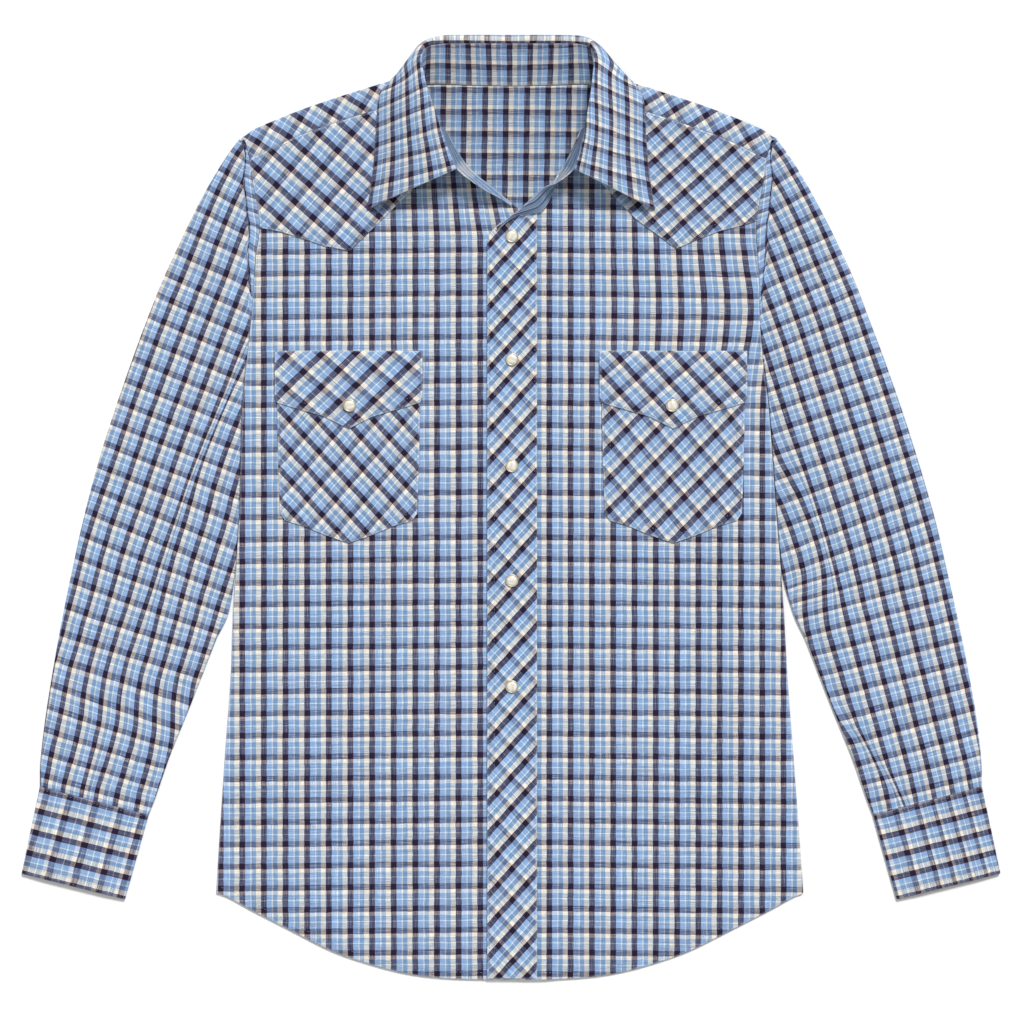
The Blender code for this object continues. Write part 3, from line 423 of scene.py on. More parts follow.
# Heights where the placket's rows end: the bottom, the top on the right, the top on the left
PLACKET_STITCH_YS = (-405, 225, 250)
STITCH_PITCH = 3
STITCH_LENGTH = 2.1
THREAD_RADIUS = 0.17
TABLE_SIZE = 6000
TABLE_Z = -0.4
CAMERA_PLACE = (0.9, -3.9, 2475)


def smooth(t):
    """An S-shaped step from 0 to 1."""
    t = np.clip(t, 0.0, 1.0)
    return t * t * (3 - 2 * t)


def ramp(value, low, high):
    """An S-shaped step from 0 at low to 1 at high."""
    return smooth((value - low) / (high - low))


def bell(t):
    """1 at 0, falling smoothly to nothing on both sides."""
    return np.exp(-(t**2))


def mix(a, b, t):
    """The value a share t of the way from a to b."""
    return a + (b - a) * t


def unit(vectors):
    """The same vectors at length 1."""
    return vectors / np.maximum(np.linalg.norm(vectors, axis=-1, keepdims=True), 1e-9)


def left_of(steps):
    """Unit vectors square to flat steps, on their left."""
    return unit(steps)[:, ::-1] * (-1, 1)


def sided(line, side):
    """A line drawn for the left side, on its own side."""
    return [(side * x, y) for x, y in line]


def runs(points):
    """Distance along each line of points, from its first point."""
    steps = np.linalg.norm(np.diff(points, axis=0), axis=-1)
    return np.concatenate([np.zeros((1,) + steps.shape[1:]), np.cumsum(steps, axis=0)])


def curve_points(rows, steps):
    """Rows of numbers with smooth in-between rows, on a curve through the given ones."""
    rows = np.array(rows, float)
    padded = np.concatenate([[2 * rows[0] - rows[1]], rows, [2 * rows[-1] - rows[-2]]])
    before, a, b, after = padded[:-3], padded[1:-2], padded[2:-1], padded[3:]
    t = np.arange(steps)[:, None, None] / steps
    square = 2 * before - 5 * a + 4 * b - after
    cube = 3 * a - before - 3 * b + after
    between = 0.5 * (2 * a + (b - before) * t + square * t**2 + cube * t**3)
    return np.concatenate([between.transpose(1, 0, 2).reshape(-1, rows.shape[1]), rows[-1:]])


def look_up(table, key, column, by=0):
    """A table's column read at keys, straight between its rows."""
    rows = np.array(sorted(table, key=lambda row: row[by]), float)
    return np.interp(key, rows[:, by], rows[:, column])


BODY_CURVE = curve_points(BODY_EDGE, 6)
HEM_CURVE = curve_points(HEM, 6)


def body_edge(y, side):
    """How far the body's edge is from the middle at a height."""
    return look_up(BODY_CURVE, y, EDGE_COLUMN[side])


def to_line(points, line):
    """For each point: how far it is from a line, and how far along the line it is nearest."""
    line = np.array(line, float)
    points = np.array(points, float)[:, :2]
    steps = np.diff(line, axis=0)
    nearest = np.full(len(points), np.inf)
    along = np.zeros(len(points))
    run = 0.0
    for start, step, length in zip(line, steps, np.maximum(np.hypot(*steps.T), 1e-9)):
        share = np.clip((points - start) @ step / length**2, 0, 1)
        away = np.hypot(*(points - start - share[:, None] * step).T)
        closer = away < nearest
        nearest = np.where(closer, away, nearest)
        along = np.where(closer, run + share * length, along)
        run += length
    return nearest, along


def crease_height(points, table):
    """What soft creases add: each fades out to both of its ends."""
    height = np.zeros(len(points))
    for rise, half_width, line in table:
        line = curve_points(line, 6)
        away, along = to_line(points, line)
        fade = np.sin(np.pi * np.clip(along / runs(line)[-1], 0, 1)) ** 0.7
        height += rise * fade * bell(away / half_width)
    return height


def wander(points, size, seed):
    """Gentle uneven waves, from -1 to 1, about this far from crest to crest."""
    x, y = points[:, :2].T / size
    total = np.zeros(len(points))
    for k in range(5):
        turn = seed + 2.4 * k
        place = (1 + 0.37 * k) * (x * math.cos(turn) + y * math.sin(turn))
        total += np.sin(math.tau * place + 1.7 * seed * (k + 1)) / (1.6 + k)
    return total / 1.9


def resampled(corners, spacing):
    """A closed outline with its corners kept and its sides cut into short steps."""
    points = []
    for a, b in zip(corners, np.roll(corners, -1, axis=0)):
        count = max(1, round(np.hypot(*(b - a)) / spacing))
        points += [mix(a, b, k / count) for k in range(count)]
    return np.array(points)


def inside(points, outline):
    """Which points lie inside a closed outline."""
    x, y = points.T
    found = np.zeros(len(points), bool)
    for (ax, ay), (bx, by) in zip(outline, np.roll(outline, -1, axis=0)):
        if ay != by:
            found ^= ((ay > y) != (by > y)) & (x < ax + (y - ay) * (bx - ax) / (by - ay))
    return found


def fill(outline, spacing, insets):
    """Triangles over an outline: rows of points along its edge, then an even spread inside."""
    edge = resampled(outline, spacing)
    closed = np.concatenate([outline, outline[:1]])
    inward = left_of(np.roll(edge, -1, axis=0) - np.roll(edge, 1, axis=0))
    rows = [edge]
    for inset in insets:
        row = edge + inward * inset
        rows.append(row[(to_line(row, closed)[0] > 0.96 * inset) & inside(row, edge)])
    low, high = edge.min(0), edge.max(0)
    spread = []
    for k, y in enumerate(np.arange(low[1], high[1], 0.866 * spacing)):
        spread += [(x, y) for x in np.arange(low[0] + k % 2 * spacing / 2, high[0], spacing)]
    spread = np.array(spread)
    spread = spread[inside(spread, edge)]
    rows.append(spread[to_line(spread, closed)[0] > insets[-1] + 0.55 * spacing])
    coords = [Vector(point) for point in np.concatenate(rows)]
    found, _, triangles, *_ = delaunay_2d_cdt(coords, [], [list(range(len(edge)))], 1, 1e-4)
    used, faces = np.unique(triangles, return_inverse=True)
    flat, faces = np.array([tuple(point) for point in found])[used], faces.reshape(-1, 3)
    (ax, ay), (bx, by), (cx, cy) = (flat[column].T for column in faces.T)
    turned = (bx - ax) * (cy - ay) - (by - ay) * (cx - ax) < 0
    faces[turned] = faces[turned][:, ::-1]
    return flat, faces


def grid_faces(rows, columns, side=LEFT, start=0):
    """Quads over a grid of points kept row by row, turned over on the right side."""
    r, c = np.meshgrid(np.arange(rows - 1), np.arange(columns - 1), indexing="ij")
    first = (start + r * columns + c).ravel()
    faces = np.stack([first, first + 1, first + columns + 1, first + columns], axis=1)
    return faces[:, ::side]


def skin_normals(points, faces):
    """The mean of the face normals round each point."""
    corners = points[faces]
    face_normals = np.cross(corners[:, 2] - corners[:, 0], corners[:, -1] - corners[:, 1])
    normals = np.zeros((len(points), 3))
    for column in faces.T:
        np.add.at(normals, column, face_normals)
    return unit(normals)


def shell(points, faces, wall):
    """A thin closed wall under a skin, with a rounded rim. Points in one place become one.

    Returns the points, the faces, and the skin points that the faces' corners and the points
    come from.
    """
    _, first, weld = np.unique(np.round(points, 3), axis=0, return_index=True, return_inverse=True)
    skin = points[first]
    joined = weld.ravel()[faces]
    normals = skin_normals(skin, joined)
    count = len(skin)
    behind = skin - wall * normals
    a, b = joined.ravel(), np.roll(joined, -1, axis=1).ravel()
    open_edge = ~np.isin(a * count + b, b * count + a)
    a, b = a[open_edge], b[open_edge]
    tangents = np.zeros((count, 3))
    for ends in (a, b):
        np.add.at(tangents, ends, skin[b] - skin[a])
    rim = np.unique(np.concatenate([a, b]))
    outward = unit(np.cross(tangents[rim], normals[rim]))
    middle = (skin[rim] + behind[rim]) / 2 + BULGE * outward
    place = np.zeros(count, int)
    place[rim] = 2 * count + np.arange(len(rim))
    upper = np.stack([b, a, place[a], place[b]], axis=1)
    lower = np.stack([place[b], place[a], a + count, b + count], axis=1)
    rims = first[np.stack([b, a, a, b], axis=1)]
    all_points = np.concatenate([skin, behind, middle])
    all_faces = [joined, joined[:, ::-1] + count, upper, lower]
    corner_sources = [faces, faces[:, ::-1], rims, rims]
    return all_points, all_faces, corner_sources, np.concatenate([first, first, first[rim]])


def add_object(name, data, place=(0, 0, 0)):
    """An object in the scene, at a place in metres."""
    thing = bpy.data.objects.new(name, data)
    thing.location = place
    bpy.context.scene.collection.objects.link(thing)
    return thing


def add_mesh(name, points, faces, materials):
    """A smooth-shaded object from points in millimetres."""
    mesh = bpy.data.meshes.new(name)
    mesh.from_pydata((np.asarray(points) * MM).tolist(), [], faces)
    for material in materials:
        mesh.materials.append(material)
    mesh.shade_smooth()
    mesh.update()
    return add_object(name, mesh)


SURFACES = {}


def add_cloth(node, points, faces, grain, edge, finish, wall=WALL):
    """A cloth piece in place of its solid, with its plaid's place as a UV map named grain."""
    material, slot = finish
    all_points, parts, corner_sources, point_sources = shell(points, faces, wall)
    all_points[:, 2] = np.maximum(all_points[:, 2], 0)
    all_faces = [face for part in parts for face in part.tolist()]
    thing = add_mesh(f"{node}_cloth", all_points, all_faces, [material])
    places = []
    for source in corner_sources:
        place = grain[source]
        jump = place - place[:, :1]
        places.append((place - np.round(jump) * (abs(jump) > 0.6)).ravel())
    layer = thing.data.uv_layers.new(name="grain")
    layer.data.foreach_set("uv", np.concatenate(places).astype(np.float32))
    fringe = thing.data.attributes.new("edge_mm", "FLOAT", "POINT")
    fringe.data.foreach_set("value", edge[point_sources].astype(np.float32))
    SURFACES[node] = BVHTree.FromPolygons(points.tolist(), faces.tolist())
    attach(thing, "root")
    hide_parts(node)
    width, length, area, held, rests_on = CUT[node]
    list(rests_on)


def lattice_grain(points, knot, across, along):
    """Plaid coordinates in stripes, from one dark crossing and the steps to its neighbours."""
    back = np.linalg.inv(np.array([across, along]).T)
    return (points[:, :2] - np.array(knot)) @ back.T


def front_grain(points, side):
    """Straight plaid on a front: upright stripes, cross stripes counted from the top."""
    at, pitch, rise, lower = FRONT_WARP[side]
    x, y = points.T
    v = look_up(FRONT_WEFT, y + lower - rise * (x - at), 1)
    if side == RIGHT:
        lean, above, edge, fade = NECK_LEAN
        u = (x + lean * np.maximum(y - above, 0) * np.exp(-np.maximum(edge - x, 0) / fade) - at) / pitch
    else:
        size, middle, reach, start, width = ARMHOLE_LEAN
        far = np.maximum(np.abs(x) - start, 0) / width
        u = (x - at) / pitch - size * bell((y - middle) / reach) * far**2
    return np.stack([u, v], axis=1)


def numbered(at, stripes, pitch):
    """Which stripe of a list lies at each place. Past both ends they go on at a pitch."""
    past = np.minimum(at - stripes[0], 0) + np.maximum(at - stripes[-1], 0)
    return np.interp(at, stripes, np.arange(len(stripes))) + past / pitch


def sleeve_grain(away, down, side):
    """Sleeve plaid from the distance to the outer line (negative underneath) and along it."""
    table = curve_points(SLEEVE_STRIPES[side], 4)
    slope, first, pitch, hidden, tuck = (np.interp(down, table[:, 0], column) for column in table.T[2:])
    v = np.interp(down - slope * np.abs(away), table[:, 0], table[:, 1])
    u = (away - first) / pitch + hidden * smooth((away - tuck) / TUCK_WIDTH + 0.5)
    if side == RIGHT:
        place = np.interp(down, list(LOW_STRIPES), np.arange(len(LOW_STRIPES)))
        lower = np.zeros(len(away))
        for k, stripes in enumerate(LOW_STRIPES.values()):
            lower += numbered(away, stripes, LOW_PITCH) * np.maximum(1 - np.abs(place - k), 0)
        u = mix(u, lower, ramp(down, *SPREAD))
    else:
        downs, aways = np.array(LEFT_PLEAT).T
        inner = smooth((away - np.interp(down, downs, aways)) / PLEAT_WIDTH + 0.5)
        u += PLEAT_HIDES * inner * smooth((down - downs[0]) / PLEAT_OPENING + 0.5)
    return u, v


def body_drop(points, side):
    """How far the front lies lower near the hem and the free part of the side."""
    x, y = np.abs(points[:, 0]), points[:, 1]
    at_hem = 1 - smooth((y - look_up(HEM_CURVE, x, 1)) / HEM_DROP)
    at_side = 1 - smooth((body_edge(y, side) - x) / SIDE_DROP)
    return LAYER * np.maximum(at_hem, at_side * (1 - ramp(y, *SIDE_DROP_Y)))


def body_waves(points):
    """The fronts' own faint unevenness, shared by all that lies on them."""
    waves = crease_height(points, FRONT_CREASES) + 0.16 * wander(points, 130, 0.8)
    return waves * smooth((320 - points[:, 1]) / 60)


def edge_profile(away, along, hem, stitch=HEM_STITCH):
    """A rounded edge, the low ridge of a turned hem and the dent and puckers of its stitches."""
    ridge = 1 - smooth((away - 0.8 * stitch) / (0.5 * stitch))
    dents = 0.6 * bell((away - stitch) / 1.1) + 0.5 * bell((away - 1.8) / 0.8)
    near_stitch = np.exp(-((away - 0.6 * stitch) ** 2) / 14)
    pucker = near_stitch * np.sin(along * 0.9 + 2 * np.sin(along * 0.053))
    return hem * (ridge - dents + 0.3 * pucker) - 0.35 * (1 - smooth(away / 1.4))


def make_panel(node, outline, top, finish, spacing=1.6, hem=0.25, front=None):
    """A flat panel. top(points) gives the height of its upper face, front is a front's side."""
    outline = np.array(outline, float)
    flat, faces = fill(outline, spacing, HEM_ROWS if hem else RAW_ROWS)
    away, along = to_line(flat, np.concatenate([outline, outline[:1]]))
    points = np.column_stack([flat, top(flat) + edge_profile(away, along, hem)])
    grain = front_grain(flat, front) if front else lattice_grain(flat, *LATTICE[node])
    add_cloth(node, points, faces, grain, away, finish)


def side_line(side, low, high):
    """The body's edge between two heights, going up."""
    ys = np.linspace(low, high, max(2, round((high - low) / 5)))
    return sided(zip(body_edge(ys, side), ys), side)


def hem_line(side):
    """The hem from the middle to the side corner."""
    points = HEM_CURVE.copy()
    points[-1, 0] = body_edge(BODY_EDGE[0][0], side)
    kept = points[:, 0] < points[-1, 0] - 1
    kept[-1] = True
    return sided(points[kept], side)


def seam_line(side):
    """The shoulder seam from armhole to neck."""
    return sided([(x - NARROWER[side], y) for x, _, y in SHOULDER[-2::-1]], side)


def neck_line(side, low=-1000.0):
    """The front neck seam down to a height."""
    return sided([row for row in curve_points(NECK_FRONT[side], 3) if row[1] > low], side)


def front_outline(side):
    """A front panel, from its centre edge round the hem, side, armhole, shoulder and neck."""
    edge_x = RIGHT_FRONT_REACH if side == RIGHT else PLACKET_EDGES[0] + HEM_INSET
    line = [(edge_x, HEM_CENTRE_Y + HEM_INSET)]
    if side == LEFT:
        line.append((0, HEM_CENTRE_Y + HEM_INSET / 2))
    line += [point for point in hem_line(side) if point[0] * side > 0]
    line += side_line(side, BODY_EDGE[0][0], SHOULDER[-2][2])[1:-1] + seam_line(side) + neck_line(side)
    if side == RIGHT:
        line.append((edge_x, NECK_FRONT[RIGHT][-1][1] - 12))
    else:
        line += [(x, y - HEM_INSET) for x, y in PLACKET_TOP[:-2]]
        line.append((edge_x, PLACKET_TOP[-1][1] - HEM_INSET))
    return line[::side]


def front_top(points, side):
    """Height of a front's upper face. The left one steps up over the right one."""
    z = FRONT_TOP - body_drop(points, side) + body_waves(points)
    return z + (side == LEFT) * LAYER * (1 - ramp(points[:, 0], *LAP_RAMP))


def make_fronts(plaid, bias, placket):
    """The two front panels, their pointed yokes and the snap placket."""
    for word, side in SIDES.items():
        outline = front_outline(side)
        make_panel(f"front_{word}", outline, lambda p: front_top(p, side), plaid, 2.3, front=side)
    for word, side in SIDES.items():
        edge = YOKE_EDGE[side]
        line = side_line(side, edge[0][1], SHOULDER[-2][2])[:-1] + seam_line(side)
        line += neck_line(side, edge[-1][1]) + sided(edge[:0:-1], side)
        make_panel(f"front_yoke_{word}", line[::side], lambda p: OVER_TOP + body_waves(p), bias, 1.9)
    bottom = HEM_CENTRE_Y + 1.5 * HEM_INSET
    outline = [(x, bottom) for x in PLACKET_EDGES] + list(PLACKET_TOP)
    make_panel("placket", outline, lambda p: TOP_TOP - body_drop(p, LEFT) + body_waves(p), placket)


def both_halves(half, centre):
    """A closed outline from a half outline that ends in its point."""
    return [(centre - x, y) for x, y in half] + [(centre + x, y) for x, y in half[-2::-1]]


def flap_top(points):
    """A flap lies on its pocket and comes down to the front at its sewn edge."""
    share = np.clip((points[:, 1] - FLAP_RAMP_Y) / (FLAP_TOP_Y - FLAP_RAMP_Y), 0, 1)
    return mix(TOP_TOP, OVER_TOP, share) + body_waves(points)


def make_pockets(bias):
    """Patch pockets with pointed flaps over their mouths."""
    for word, side in SIDES.items():
        pocket, flap = (both_halves(half, side * POCKET_CENTRE) for half in (POCKET_HALF, FLAP_HALF))
        make_panel(f"pocket_{word}", pocket, lambda p: OVER_TOP + body_waves(p), bias)
        make_panel(f"flap_{word}", flap, flap_top, bias)


def back_yoke_low(x, side):
    """The lower end of the back yoke at a distance from the middle."""
    corner = float(body_edge(YOKE_CORNER_Y, side))
    if x > corner:
        armhole = [row for row in BODY_EDGE if row[0] >= YOKE_CORNER_Y]
        return float(look_up(armhole, x, 0, by=EDGE_COLUMN[side]))
    return float(look_up(BACK_YOKE_EDGE[:-1] + ((corner, YOKE_CORNER_Y),), x, 1))


def make_back_yoke(bias):
    """The outer back yoke: flat on the floor behind, folded over both shoulders to the seams."""
    radius = SHOULDER_FOLD_RADIUS
    turns = np.pi * np.arange(1, 8) / 8
    shares = np.linspace(0, 1, 14)
    front_z = mix(2 * radius, OVER_TOP, smooth(shares * 3)) - 0.5 * smooth((shares - 0.9) * 10)
    zs = np.concatenate([0 * shares, radius * (1 - np.cos(turns)), front_z])
    points, faces, edges = [], [], []
    for side in (RIGHT, LEFT):
        rows = curve_points(SHOULDER + (SHOULDER_TIP,), 8) - (NARROWER[side], 0, 0)
        faces.append(grid_faces(len(rows), len(zs), side, len(points)))
        for x, fold_y, seam_y in rows:
            fold = fold_y - radius
            seam = min(seam_y, fold - radius) + 0.3
            back = mix(back_yoke_low(x, side), fold, shares)
            ys = np.concatenate([back, fold + radius * np.sin(turns), mix(fold, seam, shares)])
            points += [(side * x, y, z) for y, z in zip(ys, zs)]
            edges += [10.0] * (len(zs) - 2) + [1.5, 0.0]
        necks = [*curve_points(NECK_BACK, 6), (rows[0, 0], rows[0, 1] - radius)]
        faces.append(grid_faces(len(necks), len(shares), side, len(points)))
        for x, y in necks:
            points += [(side * x, py, 0.0) for py in mix(back_yoke_low(x, side), y, shares)]
            edges += [10.0] * len(shares)
    points = np.array(points)
    grain = lattice_grain(points, *LATTICE["back_yoke_right"])
    other = (points[:, 2] > radius) & (points[:, 0] > 0)
    grain[other] = lattice_grain(points[other], *LATTICE["back_yoke_left"])
    add_cloth("back_yoke", points, np.concatenate(faces), grain, np.array(edges), bias)


def back_half(side):
    """Half of the back panel, from the hem's middle round to its top's middle."""
    up = side_line(side, BODY_EDGE[0][0], YOKE_CORNER_Y - LAYER)[1:]
    top = [(x, back_yoke_low(x, side) - 0.6) for x in BACK_TOP_XS]
    return hem_line(side) + up + sided(top, side)


def inner_yoke_half(side):
    """Half of the inner yoke: it laps over the back panel and stops short of fold and armhole."""
    armhole = [y for y, *_ in BODY_EDGE if YOKE_CORNER_Y < y < SHOULDER[-2][2] + 1]
    half = [(float(body_edge(y, side)) - INNER_YOKE_INSET, y) for y in [YOKE_CORNER_Y] + armhole]
    half[0] = (half[0][0], YOKE_CORNER_Y - INNER_YOKE_LAP)
    half = [(x, y - INNER_YOKE_LAP) for x, y in BACK_YOKE_EDGE[:-1]] + half
    inset = NARROWER[side] + INNER_YOKE_INSET
    half += [(x - inset, y - INNER_YOKE_LAP) for x, y, _ in SHOULDER[4::-1]]
    return sided(half + list(NECK_BACK[::-1]), side)


def make_back(plaid, inner):
    """The back panel and the inner yoke that laps over its top."""
    whole, yoke = (half(LEFT) + half(RIGHT)[-2:0:-1] for half in (back_half, inner_yoke_half))
    make_panel("back", whole, lambda p: BACK_TOP, plaid, 6, hem=0)
    # The inner yoke gets the darker copy of the plaid: painted shade.
    make_panel("yoke_inner", yoke, lambda p: INNER_TOP + 0.12 * wander(p, 60, 2.2), inner, 3.2, hem=0.1)


def sleeve_line(side):
    """The smooth line that a sleeve's stripes follow."""
    x, y = np.array(SLEEVE_GRAIN_LINE).T
    nearer = np.interp(y, *LEFT_NEARER) * (side == LEFT)
    return curve_points(np.stack([side * (x - nearer), y], axis=1), 6)


def sleeve_section(row, side, closed):
    """The points round a sleeve from its inner end, under and over it, and its inner fold's.

    Columns: place, share of the creases, 1 above and -1 below, distance from the inner end.
    """
    outer_y, outer_x, inner_y, gap, inner_z, middle_z = row
    inner_x = float(body_edge(inner_y, side)) + max(gap, SLEEVE_GAP) + closed * inner_z / 2
    outer, inner = np.array((side * outer_x, outer_y)), np.array((side * inner_x, inner_y))
    width = np.linalg.norm(inner - outer)
    inward = unit(inner - outer)
    radius = SLEEVE_FOLD_HEIGHT / 2
    turns = np.pi * np.arange(FOLD_STEPS + 1) / FOLD_STEPS
    under, over = np.linspace(width, radius, 12), np.linspace(radius, width, 60)
    share = over / width
    rise = smooth(share * 5) * smooth((1 - share) * 5)
    base = mix(SLEEVE_FOLD_HEIGHT, inner_z, smooth((share - 0.5) * 2))
    across = np.concatenate([under, radius * (1 - np.sin(turns[1:-1])), over])
    z = np.concatenate([0 * under, radius * (1 - np.cos(turns[1:-1])), mix(base, middle_z, rise)])
    above = np.arange(len(z)) >= len(z) - len(over)
    soft = above * smooth(across / 14) * smooth((width - across) / (10 if closed else 16))
    xy = outer + inward * across[:, None]
    out = inner_z / 2 * np.sin(turns)[:, None]
    fold = np.column_stack([xy[-1] + inward * out, inner_z * (1 + np.cos(turns)) / 2])
    return np.column_stack([xy, z, soft, np.where(above, 1, -1), width - across]), fold


def make_sleeves(finish):
    """Each sleeve is a flattened tube whose upper end is cut to the armhole."""
    for word, side in SIDES.items():
        table = []
        for outer_y, outer_x, closer, inner_y, inner_x, *heights in SLEEVE_ROWS:
            gap = SLEEVE_GAP if inner_x is None else inner_x - float(body_edge(inner_y, side))
            table.append((outer_y, outer_x - closer * (side == LEFT), inner_y, gap, *heights))
        rows = curve_points(table, SLEEVE_STEPS)
        first_closed = FIRST_CLOSED_ROW * SLEEVE_STEPS
        sections = [sleeve_section(row, side, k >= first_closed) for k, row in enumerate(rows)]
        body = np.array([section for section, _ in sections])
        folds = np.array([fold for _, fold in sections[first_closed:]])
        shape = body.shape[:2]
        points = body[..., :3].reshape(-1, 3)
        soft, sign, from_inner = body[..., 3:].reshape(-1, 3).T
        above = sign > 0
        x, y = points[:, :2].T
        lift = CREASE_SCALE * crease_height(points, SLEEVE_CREASES[side])
        for height, size, seed, more in SLEEVE_WAVES:
            lift += height * wander(points, size, seed * side + more)
        pull = above * bell(from_inner / 9) * np.sin(y * 0.42 + 1.5 * np.sin(y * 0.07))
        gap = side * x - body_edge(y, side)
        band = look_up(CAP, y, 1)
        beyond = gap - band - 1.2
        valley = look_up(CAP, y, 2) * bell(beyond / np.where(beyond > 0, *VALLEY_HALF_WIDTHS))
        z = points[:, 2] + soft * lift + 0.35 * pull - above * (y > CAP_END) * valley
        points[:, 2] = np.maximum(z, 0)
        away, down = to_line(points, sleeve_line(side))
        u, v = sleeve_grain(sign * away, down, side)
        cap = above * smooth((band - gap) / 1.5 + 0.5) * smooth((y - CAP_END) / 20)
        bars = np.interp(-y, -np.array(CAP_BARS), np.arange(len(CAP_BARS)))
        band_u = (gap - band) / BAND_PITCH - 0.05
        u = mix(u, band_u + np.round(u - band_u), cap)
        v = mix(v, bars + 0.03 * gap + np.round(v - bars), cap)
        grain = np.stack([-u, v], axis=1)
        ends = points.reshape(*shape, 3)[first_closed:]
        folds[:, 0], folds[:, -1] = ends[:, -1], ends[:, 0]
        last = grain.reshape(*shape, 2)[first_closed:, -1:]
        fold_grain = last + 0.06 * np.arange(FOLD_STEPS + 1)[:, None] * np.sign(last) * (1, 0)
        faces = [grid_faces(*shape, side), grid_faces(*folds.shape[:2], side, len(points))]
        edge = np.concatenate([np.minimum(from_inner + 0.8, 10), np.full(folds.size // 3, 10.0)])
        points = np.concatenate([points, folds.reshape(-1, 3)])
        grain = np.concatenate([grain, fold_grain.reshape(-1, 2)])
        add_cloth(f"sleeve_{word}", points, np.concatenate(faces), grain, edge, finish)


def cuff_edges(side):
    """A cuff's outer and inner edge, each from its upper end to its lower end."""
    return (np.array(sided(pair, side)) for pair in zip(CUFF_TOP, CUFF_BOTTOM))


def make_cuffs(finish):
    """Cuffs are flattened rings a little thicker than the sleeves."""
    radius = CUFF_FOLD_HEIGHT / 2
    turns = np.pi * np.arange(1, 7) / 6
    first_u, pitch_u = CUFF_STRIPES
    for word, side in SIDES.items():
        outer_edge, inner_edge = cuff_edges(side)
        height = np.linalg.norm(outer_edge[1] - outer_edge[0])
        points, grain, edge = [], [], []
        for share in np.linspace(0, 1, CUFF_STEPS):
            outer, inner = mix(*outer_edge, share), mix(*inner_edge, share)
            width = np.linalg.norm(inner - outer)
            under = np.linspace(width - radius, radius, 12)
            over = np.linspace(radius, width - radius, 46)
            rise = smooth(over / width * 4) * smooth((1 - over / width) * 4)
            folds = radius * (1 - np.sin(turns))
            across = np.concatenate([under, folds[:-1], over, width - folds])
            upper = mix(CUFF_FOLD_HEIGHT, CUFF_HEIGHT, rise)
            outer_z, inner_z = radius * (1 - np.cos(turns[:-1])), radius * (1 + np.cos(turns))
            loop = np.stack([across, np.concatenate([0 * under, outer_z, upper, inner_z])], axis=1)
            loop[-1] = loop[0]
            run = runs(loop)
            away = min(share, 1 - share) * height
            z = loop[:, 1] + (loop[:, 1] > 2) * edge_profile(away, run, 0.22, 4.0)
            xy = outer + (inner - outer) / width * loop[:, :1]
            points.append(np.column_stack([xy, np.maximum(z, 0)]))
            from_inner = 2 * (width - radius) + 1.6 - run
            from_inner[[0, -1]] = 0
            v = numbered(from_inner, CUFF_BARS[side], CUFF_BAR_PITCH)
            grain.append(np.column_stack([0 * v + (share * height - first_u) / pitch_u, v]))
            edge += [away] * len(loop)
        points, grain = np.concatenate(points), np.concatenate(grain)
        faces = grid_faces(CUFF_STEPS, len(loop), side)
        add_cloth(f"cuff_{word}", points, faces, grain, np.array(edge), finish, wall=1.0)


def placed(point, side, shift=0.0):
    """A collar point on its own side of the middle."""
    return np.array((side * (point[0] + shift), point[1], point[2]))


def collar_sections(side):
    """Neck seam, top of the stand, hem, facing and tuck of the collar's sections on one side."""
    for neck, top, hem, facing, under, shift in COLLAR_ROWS:
        shift *= side == LEFT
        low, high = placed(neck, side, max(shift, 0)), placed(top, side, shift)
        yield low, high, placed(hem, side), facing, under


def add_band(node, grid, u, v, edge, finish, wall=WALL):
    """A piece of the collar, from a grid of points and their plaid."""
    faces = grid_faces(*grid.shape[:2])[:, ::-1]
    grain = np.stack(np.broadcast_arrays(u, v), axis=-1).reshape(-1, 2)
    add_cloth(node, grid.reshape(-1, 3), faces, grain, np.minimum(edge, 10).ravel(), finish, wall)


def stand_rows(side):
    """Neck and top points of the stand from the middle of the back to one front end."""
    rows = [(*neck, *top) for neck, top, *_ in collar_sections(side)]
    return rows + [(*placed(neck, side), *placed(top, side)) for neck, top in STAND_ENDS[side]]


def make_stand(finish):
    """The stand: a band from one front end round the neck to the other."""
    rows = curve_points(stand_rows(RIGHT)[::-1] + stand_rows(LEFT)[1:], 9)
    grid = mix(rows[:, None, :3], rows[:, None, 3:], np.linspace(0, 1, 15)[:, None])
    along = runs(grid[:, 7])
    along -= along[np.argmin(np.abs(grid[:, 0, 0]) - grid[:, 0, 1])]
    up = runs(grid.transpose(1, 0, 2)).T
    upright_at, upright_pitch, long_at, long_pitch, ends_at, right_end, left_end = STAND_STRIPES
    past = np.abs(along) - ends_at
    ends = np.where(along < 0, right_end, left_end) + past / 260
    u = np.where(past > 0, ends, (along - upright_at) / upright_pitch)
    close = 1 + 1.8 * smooth(past / 14)[:, None]
    v = (up * close - long_at) / long_pitch
    add_band("collar_stand", grid, -u[:, None], v, np.minimum(up, up[:, -1:] - up), finish)


def leaf_rows(side):
    """Start, two curve handles and hem of each leaf section on one side."""
    rows = []
    for low, high, end, facing, under in collar_sections(side):
        up = unit(high - low)
        start = high + up * LEAF_SEAM_GAP
        turn = math.radians(facing)
        out = np.array((-side * math.cos(turn), math.sin(turn), 0.0))
        first = start + up * mix(*LEAF_LIFT, under)
        second = end + out * mix(*LEAF_TUCK, under) + (0, 0, mix(*LEAF_DROP, under))
        rows.append((*start, *first, *second, *end))
    return rows


